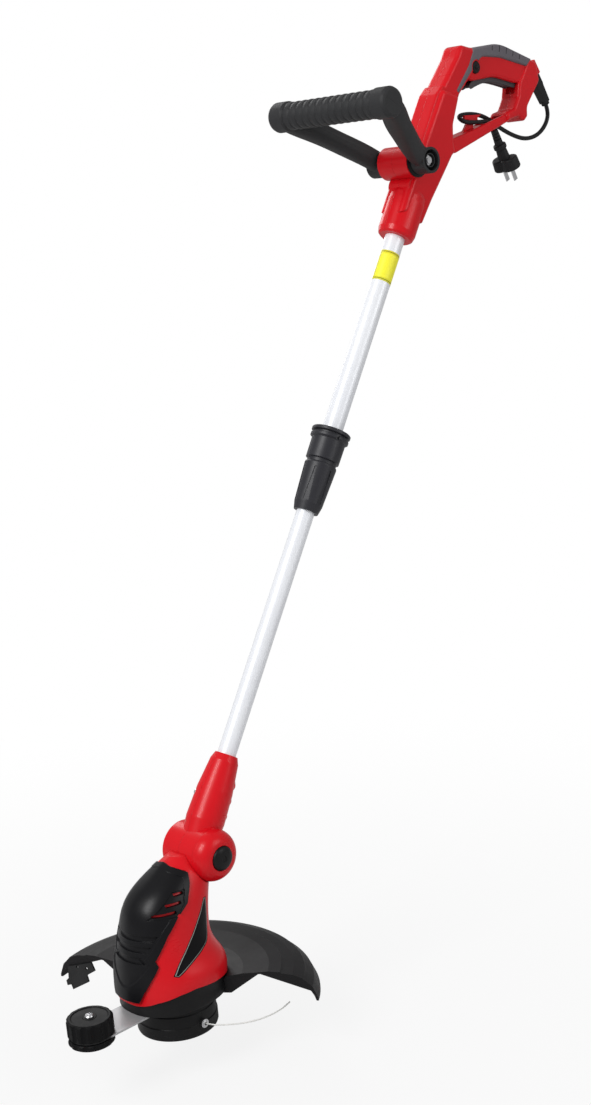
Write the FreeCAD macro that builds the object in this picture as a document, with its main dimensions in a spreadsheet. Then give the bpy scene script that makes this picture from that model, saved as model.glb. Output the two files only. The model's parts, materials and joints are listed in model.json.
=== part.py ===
import FreeCAD, Part
import math
import os
import Sketcher

# Corded string trimmer: a hanging motor head with a line spool, a telescopic shaft and
# a closed rear handle. Millimetres and degrees, +Z up along the spindle, +Y towards the
# operator, +X to the operator's left. The origin is the middle of the rear grip.

Vector = FreeCAD.Vector
Rotation = FreeCAD.Rotation
Placement = FreeCAD.Placement

doc = FreeCAD.newDocument("StringTrimmer")
sheet = doc.addObject("Spreadsheet::Sheet", "Sizes")


# ---------------------------------------------------------------- driving sizes

class Size(float):
    """A number from the sheet that remembers the formula that gives it."""

    def __new__(cls, value, formula):
        size = float.__new__(cls, value)
        size.formula = formula
        return size

    def __neg__(self):
        return Size(-float(self), "-(" + self.formula + ")")

    def __add__(self, other):
        return Size(float(self) + float(other), "(" + self.formula + " + " + text(other) + ")")

    def __radd__(self, other):
        return Size(float(other) + float(self), "(" + text(other) + " + " + self.formula + ")")

    def __sub__(self, other):
        return Size(float(self) - float(other), "(" + self.formula + " - " + text(other) + ")")

    def __rsub__(self, other):
        return Size(float(other) - float(self), "(" + text(other) + " - " + self.formula + ")")

    def __mul__(self, other):
        return Size(float(self) * float(other), self.formula + " * " + text(other))

    def __rmul__(self, other):
        return Size(float(other) * float(self), text(other) + " * " + self.formula)

    def __truediv__(self, other):
        return Size(float(self) / float(other), self.formula + " / " + text(other))


def text(number):
    """The formula of a size, or a plain number as text."""
    return number.formula if isinstance(number, Size) else repr(float(number))


def cosine(angle):
    return Size(math.cos(math.radians(angle)), "cos(" + text(angle) + ")")


def sine(angle):
    return Size(math.sin(math.radians(angle)), "sin(" + text(angle) + ")")


SIZES = [
    # shared clearances
    ("running_gap", 0.06, "radial clearance of a shaft in its bore"),
    ("body_gap", 0.35, "clearance between pieces that move past each other"),
    ("seat_gap", 0.05, "clearance of a piece in its seat"),
    ("seam", 0.08, "half of the joint line between two mouldings"),
    # pose and placing of the head under the shaft
    ("shaft_lean", 32, "angle between the shaft and the spindle"),
    ("pivot_back", 55, "head pivot behind the spindle axis"),
    ("pivot_height", 193, "head pivot above the ground face"),
    ("shaft_forward", 4, "shaft axis in front of the pivot"),
    ("pivot_radius", 30, "radius of the pivot barrel"),
    ("pivot_half", 30, "half length of the pivot barrel"),
    ("tongue_radius", 22, "detent disc of the head inside the barrel"),
    ("tongue_half", 7, "half thickness of the detent disc"),
    ("pin_radius", 4, "pivot pin"),
    ("tilt_press", 4.2, "room for the stroke of the tilt button"),
    # spool
    ("spool_radius", 46.5, "outside of the spool housing"),
    ("spool_low", 1.2, "underside of the spool cover above the ground face"),
    ("cover_height", 8.8, "height of the spool cover"),
    ("cup_top", 36.5, "top of the spool housing"),
    ("knob_radius", 20, "bump knob"),
    ("bump_travel", 4, "stroke of the bump knob"),
    ("reel_low", 9, "lower flange of the reel"),
    ("reel_height", 20, "height of the reel"),
    ("reel_radius", 42, "flanges of the reel"),
    ("drum_radius", 22, "drum of the reel"),
    ("hub_radius", 12, "hub that the reel slides on"),
    ("winding_radius", 37, "outside of the wound line"),
    ("line_radius", 0.8, "cutting line"),
    ("line_height", 16, "line eyelet above the ground face"),
    # motor
    ("shaft_radius", 4, "motor shaft"),
    ("shaft_top", 166, "upper end of the motor shaft"),
    ("bearing_radius", 11, "lower bearing"),
    ("bearing_low", 50, "underside of the lower bearing"),
    ("bearing_height", 7, "height of the lower bearing"),
    ("top_bearing_radius", 9.5, "upper bearing"),
    ("top_bearing_low", 158, "underside of the upper bearing"),
    ("top_bearing_height", 6, "height of the upper bearing"),
    ("fan_radius", 36, "cooling fan"),
    ("fan_low", 63, "underside of the fan"),
    ("fan_height", 15, "height of the fan"),
    ("fan_cavity", 40, "radius of the room round the fan"),
    ("stator_radius", 36, "outside of the stator"),
    ("stator_low", 88, "underside of the stator"),
    ("stator_height", 36, "height of the stator"),
    ("rotor_radius", 20, "armature core"),
    ("air_gap", 0.5, "gap between armature and stator"),
    ("commutator_radius", 11, "commutator"),
    ("commutator_low", 134, "underside of the commutator"),
    ("commutator_height", 15, "height of the commutator"),
    # head mouldings
    ("base_low", 41, "underside of the motor base"),
    ("base_inset", 2, "motor base inside the housing surface"),
    ("cover_proud", 2.2, "front cover above the housing surface"),
    ("cover_depth", 3.4, "front cover below the housing surface"),
    ("cover_frame", 6.5, "raised border of the front cover"),
    # guard
    ("guard_radius", 166, "rim of the guard"),
    ("guard_start", 36, "angle where the guard begins, from +X towards +Y"),
    ("guard_span", 160, "angle that the guard covers"),
    ("guard_wall", 2.6, "thickness of the guard"),
    ("guard_rim_low", 29, "lower edge of the rim"),
    ("guard_flange", 49, "inner radius of the guard's flange"),
    # edge guide wheel
    ("wheel_forward", 119.5, "wheel axis in front of the spindle"),
    ("wheel_radius", 26, "edge guide wheel"),
    ("wheel_lower", 7.6, "thickness of the lower wheel half"),
    ("wheel_upper", 20.2, "thickness of the upper wheel half"),
    ("bracket_thick", 2, "wheel bracket plate"),
    ("bracket_half", 23, "half width of the wheel bracket"),
    ("axle_radius", 3, "wheel axle"),
    # lower shaft
    ("socket_top", 113, "upper end of the lower socket above the pivot"),
    ("lower_outer", 22, "outside diameter of the lower tube"),
    ("upper_outer", 25, "outside diameter of the upper tube"),
    ("tube_wall", 1.1, "wall of both tubes"),
    ("lower_shown", 301, "lower tube between socket and collar"),
    ("upper_shown", 257, "upper tube between collar and handle"),
    ("tube_overlap", 146, "lower tube above the collar's lower end"),
    # locking collar
    ("nut_height", 60, "twist nut"),
    ("nut_top_radius", 19.7, "twist nut at its upper end"),
    ("nut_low_radius", 17.3, "twist nut above its bevel"),
    ("collar_height", 43, "collar body above the nut"),
    ("collar_radius", 20.5, "collar body"),
    ("flange_radius", 24, "upper flange of the collar"),
    ("collet_radius", 14, "outside of the collet"),
    # rear handle, measured from the lower end of its clamp
    ("clamp_radius", 23.5, "round clamp of the handle"),
    ("spine_half", 20, "half thickness of the handle's spine"),
    ("loop_half", 15.5, "half thickness of the hand loop"),
    ("bar_half", 12, "half thickness of the lower bar"),
    ("grip_along", 286, "rear grip above the clamp's lower end"),
    ("grip_back", 65, "rear grip behind the shaft axis"),
    ("grip_skin", 2.4, "thickness of the soft grip"),
    ("hub_along", 87.7, "front handle hub above the clamp's lower end"),
    ("hub_forward", 27, "front handle hub in front of the shaft axis"),
    ("hub_size", 20, "radius of the front handle hub"),
    ("hub_half", 24, "half length of the front handle hub"),
    # front handle
    ("arm_reach", 131, "middle of the grip bar from the hub axis"),
    ("arm_rise", 30, "tilt of the front handle above level"),
    ("arm_hub_half", 47, "outer face of the arms at the hub"),
    ("arm_grip_half", 83, "half length of the front grip bar between its end collars' middles"),
    ("front_grip_radius", 15, "grip bar of the front handle"),
    ("grip_collar", 18, "collars at the ends of the front grip bar"),
    # controls and bolt
    ("trigger_half", 7, "half thickness of the trigger"),
    ("lock_radius", 7.5, "lock-off button"),
    ("bolt_radius", 4, "bolt of the front handle"),
    # mains cord
    ("cord_radius", 2.8, "mains cord"),
]

for row, (alias, value, note) in enumerate(SIZES, start=1):
    sheet.set("A" + str(row), alias.replace("_", " "))
    sheet.set("B" + str(row), str(value))
    sheet.setAlias("B" + str(row), alias)
    sheet.set("C" + str(row), note)
doc.recompute()


class Sheet:
    """The sheet's cells as sizes, read by their aliases."""

    def __getattr__(self, alias):
        return Size(float(sheet.get(alias)), "Sizes." + alias)


z = Sheet()


# ---------------------------------------------------------------- frames

class Frame:
    """A place that sub-parts are modelled in: an origin in the YZ plane and a turn about X."""

    def __init__(self, y, height, turn):
        self.y = y
        self.height = height
        self.turn = turn

    def seat(self, thing):
        """Put a finished sub-part in its frame."""
        put(thing, 0, self.y, self.height, Vector(1, 0, 0), self.turn)


def put(thing, x=0, y=0, height=0, axis=Vector(0, 0, 1), turn=0):
    """Place an object and bind every coordinate that comes from the sheet."""
    thing.Placement = Placement(Vector(x, y, height), Rotation(axis, float(turn)))
    for name, size in (("Base.x", x), ("Base.y", y), ("Base.z", height), ("Rotation.Angle", turn)):
        if isinstance(size, Size):
            thing.setExpression("Placement." + name, size.formula)
    return thing


def along_shaft(y, height, forward, along):
    """The point that lies so far behind the shaft axis and so far along it from a point."""
    return (y + forward * cosine(z.shaft_lean) + along * sine(z.shaft_lean),
            height - forward * sine(z.shaft_lean) + along * cosine(z.shaft_lean))


collar_station = z.socket_top + z.lower_shown
handle_station = collar_station + z.nut_height + z.collar_height + z.upper_shown

ROW = Frame(0, 0, 0)
HANDLE = Frame(*along_shaft(0, 0, -z.grip_back, -z.grip_along), -z.shaft_lean)
SHAFT = Frame(*along_shaft(HANDLE.y, HANDLE.height, 0, -handle_station), -z.shaft_lean)
HEAD = Frame(SHAFT.y - z.pivot_back + z.shaft_forward * cosine(z.shaft_lean),
             SHAFT.height - z.pivot_height - z.shaft_forward * sine(z.shaft_lean), 0)
FRONT = Frame(*along_shaft(HANDLE.y, HANDLE.height, -z.hub_forward, z.hub_along), 90 - z.arm_rise)


# ---------------------------------------------------------------- building blocks

ALONG_X = (Vector(0, 1, 0), 90)
ALONG_Z = (Vector(0, 0, 1), 0)

nodes = []


def keep(label, thing, frame):
    """Register a finished sub-part under the name of its node."""
    thing.Label = label
    frame.seat(thing)
    nodes.append(thing)
    return thing


def tie(thing, name, size):
    """Give a property its size and bind it to the sheet."""
    setattr(thing, name, float(size))
    if isinstance(size, Size):
        thing.setExpression(name, size.formula)


def rod(radius, length, x=0, y=0, low=0, way=ALONG_Z):
    """A round bar from its first end onwards."""
    thing = doc.addObject("Part::Cylinder", "rod")
    tie(thing, "Radius", radius)
    tie(thing, "Height", length)
    return put(thing, x, y, low, *way)


def rod_across(radius, x, x_end, y, height):
    """A round bar along X between two values of X."""
    return rod(radius, x_end - x, x, y, height, ALONG_X)


def cone(radius, end_radius, length, x=0, y=0, low=0, way=ALONG_Z):
    thing = doc.addObject("Part::Cone", "cone")
    tie(thing, "Radius1", radius)
    tie(thing, "Radius2", end_radius)
    tie(thing, "Height", length)
    return put(thing, x, y, low, *way)


def block(x, y, height, width, depth, rise):
    """A box from its lowest corner."""
    thing = doc.addObject("Part::Box", "block")
    tie(thing, "Length", width)
    tie(thing, "Width", depth)
    tie(thing, "Height", rise)
    return put(thing, x, y, height)


def bar(half, depth, rise, y, height, turn=0):
    """A box astride the middle plane, from its lower front corner, turned about X."""
    thing = block(-half, y, height, 2 * half, depth, rise)
    return put(thing, -half, y, height, Vector(1, 0, 0), turn)


def fuse(*things):
    joined = doc.addObject("Part::MultiFuse", "joined")
    joined.Shapes = list(things)
    joined.Refine = True
    return joined


def gather(*things):
    """Separate solids that count as one sub-part."""
    group = doc.addObject("Part::Compound", "group")
    group.Links = list(things)
    return group


def cut(base, *tools):
    opened = doc.addObject("Part::Cut", "opened")
    opened.Base = base
    opened.Tool = tools[0] if len(tools) == 1 else fuse(*tools)
    opened.Refine = True
    return opened


def common(base, tool):
    shared = doc.addObject("Part::Common", "shared")
    shared.Base = base
    shared.Tool = tool
    shared.Refine = True
    return shared


REACH = 900


def half(thing, side):
    """The half of a solid on the +X side (1) or on the -X side (-1), short of the joint line."""
    right_space = block(-REACH, -REACH, -REACH, REACH + side * z.seam, 2 * REACH, 2 * REACH)
    part = cut(thing, right_space) if side > 0 else common(thing, right_space)
    part.Refine = False
    return part


def origin_plane(body, role):
    return [feature for feature in body.Origin.OriginFeatures if feature.Role == role][0]


def draw(body, role, outlines, circles=()):
    """A sketch on an origin plane: closed outlines of corners, and circles, tied to the sheet."""
    sketch = body.newObject("Sketcher::SketchObject", "outline")
    sketch.AttachmentSupport = [(origin_plane(body, role), "")]
    sketch.MapMode = "FlatFace"
    for corners in outlines:
        first = sketch.GeometryCount
        count = len(corners)
        for index in range(count):
            start = Vector(*corners[index], 0)
            end = Vector(*corners[(index + 1) % count], 0)
            sketch.addGeometry(Part.LineSegment(start, end), False)
        for index in range(count):
            after = first + (index + 1) % count
            sketch.addConstraint(Sketcher.Constraint("Coincident", first + index, 2, after, 1))
        for index, corner in enumerate(corners):
            fix_point(sketch, first + index, 1, corner)
    for u, v, radius in circles:
        ring = sketch.addGeometry(Part.Circle(Vector(u, v, 0), Vector(0, 0, 1), radius), False)
        fix_point(sketch, ring, 3, (u, v))
        number = sketch.addConstraint(Sketcher.Constraint("Radius", ring, float(radius)))
        bind_constraint(sketch, number, radius)
    return sketch


def bind_constraint(sketch, number, size):
    if isinstance(size, Size):
        sketch.setExpression("Constraints[" + str(number) + "]", size.formula)


def fix_point(sketch, geometry, end, corner):
    """Hold one point of a sketch at its two coordinates."""
    for kind, size in zip(("DistanceX", "DistanceY"), corner):
        constraint = Sketcher.Constraint(kind, -1, 1, geometry, end, float(size))
        bind_constraint(sketch, sketch.addConstraint(constraint), size)


def turned(outline, sector=360):
    """A turned piece: an outline of (radius, height) corners swept round the Z axis."""
    body = doc.addObject("PartDesign::Body", "turned")
    sketch = draw(body, "XZ_Plane", [outline])
    feature = body.newObject("PartDesign::Revolution", "turn")
    feature.Profile = sketch
    feature.ReferenceAxis = (sketch, ["V_Axis"])
    tie(feature, "Angle", sector)
    return body


def padded(role, outlines, thickness, circles=(), middle=True):
    """A flat piece: outlines in an origin plane, padded to both sides or to one."""
    body = doc.addObject("PartDesign::Body", "padded")
    feature = body.newObject("PartDesign::Pad", "pad")
    feature.Profile = draw(body, role, outlines, circles)
    tie(feature, "Length", thickness)
    feature.SideType = "Symmetric" if middle else "One side"
    return body


def side_plate(outline, half_thickness, circles=()):
    """A flat piece astride the middle plane, drawn in Y and Z."""
    return padded("YZ_Plane", [outline], 2 * half_thickness, circles)


def rounded(body, radius, wanted):
    """Round the edges of a body's last feature that a test picks."""
    doc.recompute()
    names = []
    for number, edge in enumerate(body.Tip.Shape.Edges, start=1):
        if wanted(edge):
            names.append("Edge" + str(number))
    base = body.Tip
    feature = body.newObject("PartDesign::Fillet", "round")
    feature.Base = (base, names)
    tie(feature, "Radius", radius)
    return body


def level_edge(height):
    """Picks the edges that lie at one height."""
    def wanted(edge):
        box = edge.BoundBox
        return abs(box.ZMin - height) < 0.01 and abs(box.ZMax - height) < 0.01
    return wanted


def corner_edge(*corners):
    """Picks the edges along X that stand at the given (y, z) corners of a side plate."""
    def wanted(edge):
        box = edge.BoundBox
        if box.XLength < 1 or box.YLength > 0.01 or box.ZLength > 0.01:
            return False
        return any(abs(box.YMin - y) < 0.05 and abs(box.ZMin - v) < 0.05 for y, v in corners)
    return wanted


def level_edges(*heights):
    """Picks the edges that lie at any of some heights."""
    tests = [level_edge(height) for height in heights]
    return lambda edge: any(test(edge) for test in tests)


def face_edge(half_thickness):
    """Picks the outline's edges on both flat faces of a side plate."""
    def wanted(edge):
        box = edge.BoundBox
        return box.XLength < 0.01 and abs(abs(box.XMin) - half_thickness) < 0.01
    return wanted


def shaped_plate(outline, half_thickness, edge_radius=0):
    """A side plate from (y, z, corner radius) points, with both faces' edges rounded."""
    body = side_plate([corner[:2] for corner in outline], half_thickness)
    for radius in sorted({corner[2] for corner in outline if corner[2]}, reverse=True):
        wanted = corner_edge(*[corner[:2] for corner in outline if corner[2] == radius])
        rounded(body, radius, wanted)
    if edge_radius:
        rounded(body, edge_radius, face_edge(half_thickness))
    return body


def inset(corners, distance):
    """An outline of straight sides moved inwards all round, or outwards if negative."""
    pairs = list(zip(corners, corners[1:] + corners[:1]))
    area = sum(a[0] * b[1] - b[0] * a[1] for a, b in pairs)
    sides = []
    for a, b in pairs:
        along = Vector(b[0] - a[0], b[1] - a[1], 0).normalize()
        inward = Vector(-along.y, along.x, 0) * (distance if area > 0 else -distance)
        sides.append((Vector(a[0], a[1], 0) + inward, along))
    moved_corners = []
    for (start, along), (other, direction) in zip(sides[-1:] + sides[:-1], sides):
        gap = other - start
        share = (gap.x * direction.y - gap.y * direction.x) / (
            along.x * direction.y - along.y * direction.x)
        corner = start + along * share
        moved_corners.append((corner.x, corner.y))
    return moved_corners


def moved(thing, place):
    """Carry a piece that already has its own placement to another place."""
    group = gather(thing)
    group.Placement = place
    return group


def at_angle(thing, angle):
    """Turn a piece round the Z axis."""
    return moved(thing, Placement(Vector(0, 0, 0), Rotation(Vector(0, 0, 1), float(angle))))


def around(count, maker, start=0):
    """Copies of a piece at equal angles round the Z axis."""
    return [at_angle(maker(), start + 360 / count * index) for index in range(count)]


# ---------------------------------------------------------------- spool, at the foot of the spindle

hub_low = z.reel_low + z.bump_travel + 0.5
shaft_low = 30
shaft_seat = z.shaft_radius + z.seat_gap
cup_wall = 2.4
cup_inside = z.spool_radius - cup_wall
cup_ceiling = z.cup_top - 2
spring_room = z.hub_radius - 3
spring_top = 27
post_top = 15


def make_spool_housing():
    """The cup: a stepped skirt, a lid and a long hub that the reel slides on."""
    cup = turned([
        (cup_inside, z.cover_height),
        (z.spool_radius, z.cover_height),
        (z.spool_radius, z.cover_height + 7),
        (z.spool_radius - 1, z.cover_height + 8),
        (z.spool_radius - 1, z.cup_top - 7),
        (z.spool_radius - 2, z.cup_top - 6),
        (z.spool_radius - 2, z.cup_top - 2.5),
        (z.spool_radius - 4.5, z.cup_top),
        (z.hub_radius + 3, z.cup_top),
        (z.hub_radius, z.cup_top + 3),
        (z.hub_radius, z.base_low + 4.5),
        (shaft_seat, z.base_low + 4.5),
        (shaft_seat, spring_top),
        (spring_room, spring_top),
        (spring_room, hub_low),
        (z.hub_radius, hub_low),
        (z.hub_radius, cup_ceiling),
        (cup_inside, cup_ceiling),
    ])
    ribs = around(12, lambda: block(z.hub_radius + 2, -0.9, z.cup_top - 0.5,
                                    z.spool_radius - z.hub_radius - 8, 1.8, 1.8))
    eye = rod(3.4, 12, z.spool_radius - 8, 0, z.line_height, ALONG_X)
    return cut(fuse(cup, *ribs), eye)


def make_spool_cover():
    low = z.spool_low
    lip = z.knob_radius + z.body_gap
    cover = turned([
        (lip, low),
        (z.spool_radius - 3, low),
        (z.spool_radius - 0.8, low + 1),
        (z.spool_radius, low + 3),
        (z.spool_radius, z.cover_height),
        (z.spool_radius - 3, z.cover_height),
        (z.spool_radius - 3, low + 2.6),
        (lip + 2.4, low + 2.6),
        (lip + 2.4, low + 4.4),
        (lip, low + 4.4),
    ])
    windows = around(6, lambda: block(27, -4, 0, 9, 8, low + 3), 15)
    return cut(cover, *windows)


def make_bump_knob():
    """The knob that is tapped on the ground, with a post that carries the spring."""
    knob = turned([
        (0, 0),
        (z.knob_radius - 5, 0),
        (z.knob_radius - 1.5, 1.5),
        (z.knob_radius, 4),
        (z.knob_radius, z.reel_low),
        (spring_room - z.body_gap, z.reel_low),
        (spring_room - z.body_gap, post_top),
        (0, post_top),
    ])
    dimples = around(6, lambda: rod(1.6, 1, z.knob_radius - 8))
    return cut(knob, *dimples)


def make_reel():
    """The bobbin: a drum with two flanges that slides on the hub."""
    low = z.reel_low
    top = z.reel_low + z.reel_height
    bore = z.hub_radius + z.running_gap
    reel = turned([
        (bore, low),
        (z.reel_radius, low),
        (z.reel_radius, low + 1.6),
        (z.drum_radius, low + 2),
        (z.drum_radius, top - 2),
        (z.reel_radius, top - 1.6),
        (z.reel_radius, top),
        (bore, top),
    ])
    notches = around(6, lambda: rod(2.2, z.reel_height + 2, z.reel_radius, 0, low - 1))
    return cut(reel, *notches)


def make_wound_line():
    low = z.reel_low + 2 + z.seat_gap
    top = z.reel_low + z.reel_height - 2 - z.seat_gap
    return turned([
        (z.drum_radius + z.seat_gap, low),
        (z.winding_radius, low + 0.5),
        (z.winding_radius + 1, low + 6),
        (z.winding_radius, top - 0.5),
        (z.drum_radius + z.seat_gap, top),
    ])


def make_spring():
    """The compression spring between the knob's post and the roof of the hub."""
    wire = 0.6
    mean = spring_room - 2
    rise = spring_top - post_top - 2 * wire
    turns = 4
    path = Part.makeHelix(rise / turns, rise, mean)
    corners = [Vector(mean + u * wire, 0, v * wire)
               for u, v in ((-1, -1), (1, -1), (1, 1), (-1, 1), (-1, -1))]
    coil = Part.Wire(path.Edges).makePipeShell([Part.makePolygon(corners)], True, True)
    spring = doc.addObject("Part::Feature", "coil")
    spring.Shape = coil
    return gather(moved(spring, Placement(Vector(0, 0, post_top + wire), Rotation())))


def make_line_eyelet():
    """The metal eye that the line leaves the cup through, with a hooked lip."""
    outside = z.spool_radius - cup_wall - 0.3
    barrel = rod(3.4 - z.seat_gap, 6.6, outside, 0, z.line_height, ALONG_X)
    lip = cone(3.4, 5, 2.2, outside + 3.4, 0, z.line_height, ALONG_X)
    bore = rod(2, 14, outside - 2, 0, z.line_height, ALONG_X)
    return cut(fuse(barrel, lip), bore)


# the cutting line from the eyelet outwards, as (beyond the spool housing, sideways)
LINE_ROUTE = [(-0.5, 0), (13.5, 3.5), (26.5, 14), (38.5, 28), (46.5, 44), (49.5, 62),
              (48.5, 78), (44.5, 92)]


def smooth_path(points, share=0.45):
    """Straight runs joined by tangent arcs, as large as the two runs at each point allow."""
    edges = []
    radii = []
    last = points[0]
    for before, corner, after in zip(points, points[1:], points[2:]):
        entry = (before - corner).normalize()
        leave = (after - corner).normalize()
        half_turn = (math.pi - entry.getAngle(leave)) / 2
        trim = share * min((before - corner).Length, (after - corner).Length)
        radii.append(trim / math.tan(half_turn))
        middle = (entry + leave).normalize()
        to_centre = trim / math.sin(half_turn)
        belly = corner + middle * (to_centre - radii[-1])
        start = corner + entry * trim
        end = corner + leave * trim
        edges.append(Part.LineSegment(last, start).toShape())
        edges.append(Part.Arc(start, belly, end).toShape())
        last = end
    edges.append(Part.LineSegment(last, points[-1]).toShape())
    return Part.Wire(edges), radii


def tube_along(label, points, radius):
    """A cord's solid: a round section swept along a smooth path."""
    path, radii = smooth_path([Vector(*point) for point in points])
    heading = path.Edges[0].tangentAt(0)
    ring = Part.Wire(Part.makeCircle(radius, Vector(*points[0]), heading))
    solid = path.makePipeShell([ring], True, False)
    ideal = math.pi * radius ** 2 * path.Length
    print(label, "length", round(path.Length, 1), "volume ratio", round(solid.Volume / ideal, 4))
    print(label, "radii", [round(value, 1) for value in radii])
    cord = doc.addObject("Part::Feature", "cord")
    cord.Shape = solid
    return cord


def make_cutting_line():
    route = [(float(z.spool_radius) + x, y, float(z.line_height)) for x, y in LINE_ROUTE]
    return tube_along("cutting_line", route, float(z.line_radius))


keep("spool_housing", make_spool_housing(), HEAD)
keep("spool_cover", make_spool_cover(), HEAD)
keep("bump_knob", make_bump_knob(), HEAD)
keep("line_reel", make_reel(), HEAD)
keep("wound_line", make_wound_line(), HEAD)
keep("bump_spring", make_spring(), HEAD)
keep("line_eyelet", make_line_eyelet(), HEAD)
keep("cutting_line", make_cutting_line(), HEAD)


# ---------------------------------------------------------------- motor

def make_motor_shaft():
    top = z.shaft_top
    return turned([
        (0, shaft_low),
        (z.shaft_radius, shaft_low),
        (z.shaft_radius, top - 1),
        (z.shaft_radius - 1, top),
        (0, top),
    ])


def make_bearing(radius, low, height):
    """A ball bearing's two rings and its shield as one turned piece."""
    bore = z.shaft_radius + z.running_gap
    outer = radius - z.seat_gap
    return turned([
        (bore, low),
        (bore + 1.5, low),
        (bore + 1.8, low + 0.5),
        (outer - 1.8, low + 0.5),
        (outer - 1.5, low),
        (outer, low),
        (outer, low + height),
        (outer - 1.5, low + height),
        (outer - 1.8, low + height - 0.5),
        (bore + 1.8, low + height - 0.5),
        (bore + 1.5, low + height),
        (bore, low + height),
    ])


def make_fan():
    """The cooling fan: a hub, a back plate and backward blades."""
    low = z.fan_low
    top = z.fan_low + z.fan_height
    wheel = turned([
        (shaft_seat, low),
        (z.fan_radius, low),
        (z.fan_radius, low + 1.6),
        (12, low + 2.4),
        (9, low + 6),
        (9, top),
        (shaft_seat, top),
    ])
    blades = around(9, make_fan_blade)
    return fuse(wheel, *blades)


def make_fan_blade():
    blade = block(11, -0.8, z.fan_low + 1, z.fan_radius - 13, 1.6, z.fan_height - 2)
    return moved(blade, Placement(Vector(0, 0, 0), Rotation(Vector(0, 0, 1), 14), Vector(11, 0, 0)))


def make_armature():
    """The laminated core with its slots and the winding ends above and below it."""
    core_low = z.stator_low + 2
    core_height = z.stator_height - 4
    core = rod(z.rotor_radius, core_height, 0, 0, core_low)
    slots = around(12, lambda: rod(2, core_height + 2, z.rotor_radius - 1.2, 0, core_low - 1))
    ends = rod(z.rotor_radius - 4, core_height + 14, 0, 0, core_low - 7)
    bore = rod(shaft_seat, core_height + 20, 0, 0, core_low - 10)
    return cut(fuse(cut(core, *slots), ends), bore)


def make_commutator():
    low = z.commutator_low
    drum = turned([
        (shaft_seat, low),
        (z.commutator_radius + 2, low),
        (z.commutator_radius + 2, low + 1.5),
        (z.commutator_radius, low + 2),
        (z.commutator_radius, low + z.commutator_height),
        (shaft_seat, low + z.commutator_height),
    ])
    slits = around(12, lambda: block(z.commutator_radius - 1, -0.4, low + 2, 3, 0.8,
                                     z.commutator_height))
    return cut(drum, *slits)


def make_stator():
    """The field core: a ring of laminations with two flats, and the coils at both ends."""
    ring = rod(z.stator_radius - z.seat_gap, z.stator_height, 0, 0, z.stator_low)
    coil = rod(z.rotor_radius + 9, z.stator_height + 8, 0, 0, z.stator_low - 4)
    bore = rod(z.rotor_radius + z.air_gap, z.stator_height + 20, 0, 0, z.stator_low - 10)
    return cut(fuse(ring, coil), bore)


def make_brush(side):
    """A carbon brush in its brass holder, reaching from the housing to the commutator."""
    start = z.commutator_radius + z.body_gap
    end = brush_room - z.body_gap - z.seat_gap
    low = z.commutator_low + 5
    holder = block(start + 1.5, -4, low, end - start - 1.5, 8, 9)
    carbon = block(start, -2.6, low + 1.6, 4, 5.2, 5.8)
    return at_angle(fuse(holder, carbon), 0 if side > 0 else 180)


brush_room = z.rotor_radius + 4
stator_top = z.stator_low + z.stator_height

keep("motor_shaft", make_motor_shaft(), HEAD)
keep("lower_bearing", make_bearing(z.bearing_radius, z.bearing_low, z.bearing_height), HEAD)
keep("upper_bearing",
     make_bearing(z.top_bearing_radius, z.top_bearing_low, z.top_bearing_height), HEAD)
keep("cooling_fan", make_fan(), HEAD)
keep("armature", make_armature(), HEAD)
keep("commutator", make_commutator(), HEAD)
keep("motor_stator", make_stator(), HEAD)
keep("motor_brushes", gather(make_brush(1), make_brush(-1)), HEAD)


# ---------------------------------------------------------------- head mouldings

# Sections of the head from the bottom up: height, front, rear, half width and the
# exponent of the rounded outline (2 is an ellipse, more is squarer).
HEAD_SECTIONS = [
    (38, -66.5, 60, 56.5, 2.3),
    (52, -66.5, 61, 57, 2.3),
    (66, -66, 62, 57.5, 2.3),
    (80, -64, 60, 56, 2.3),
    (90, -62.5, 54, 52, 2.4),
    (103, -60, 47.5, 48, 2.4),
    (130, -53.5, 46, 44, 2.4),
    (155, -46, 52, 39, 2.4),
    (172, -32, 60, 33, 2.3),
    (186, -10, 66, 26, 2.2),
    (200, 14, 70, 16, 2.0),
]


def outline_at(height, front, rear, half_width, exponent, keel=0):
    """One closed, smooth section of the head; a keel draws its front out to a soft ridge."""
    middle = (front + rear) / 2
    depth = (rear - front) / 2
    points = []
    count = 28
    for index in range(count):
        angle = 2 * math.pi * index / count
        side = math.copysign(abs(math.cos(angle)) ** (2 / exponent), math.cos(angle))
        back = math.copysign(abs(math.sin(angle)) ** (2 / exponent), math.sin(angle))
        ridge = keel * (1 - abs(side)) ** 2 if back < 0 else 0
        points.append(Vector(half_width * side, middle + depth * back - ridge, height))
    curve = Part.BSplineCurve()
    curve.interpolate(Points=points, PeriodicFlag=True)
    return Part.Wire(curve.toShape())


def head_form(growth, keel=0):
    """The head's whole outside, grown all round by a distance."""
    growth = float(growth)
    wires = []
    for height, front, rear, half_width, exponent in HEAD_SECTIONS:
        wires.append(outline_at(height, front - growth, rear + growth,
                                half_width + growth, exponent, keel))
    form = doc.addObject("Part::Feature", "form")
    form.Shape = Part.makeLoft(wires, True)
    return form


# the seam between the red housing and the black base, as (y, z)
SEAM = [(-66, 54), (-54, 60), (-33, 65), (-14, 66.5), (14, 63), (33, 61.5), (52, 58), (62, 57)]


def below_seam():
    return side_plate([(-90, 20), (-90, 54)] + SEAM + [(90, 57), (90, 20)], REACH)


def barrel_space():
    """The room that the socket's pivot barrel turns in."""
    return rod_across(z.pivot_radius + z.body_gap, -REACH, REACH, z.pivot_back, z.pivot_height)


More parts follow.
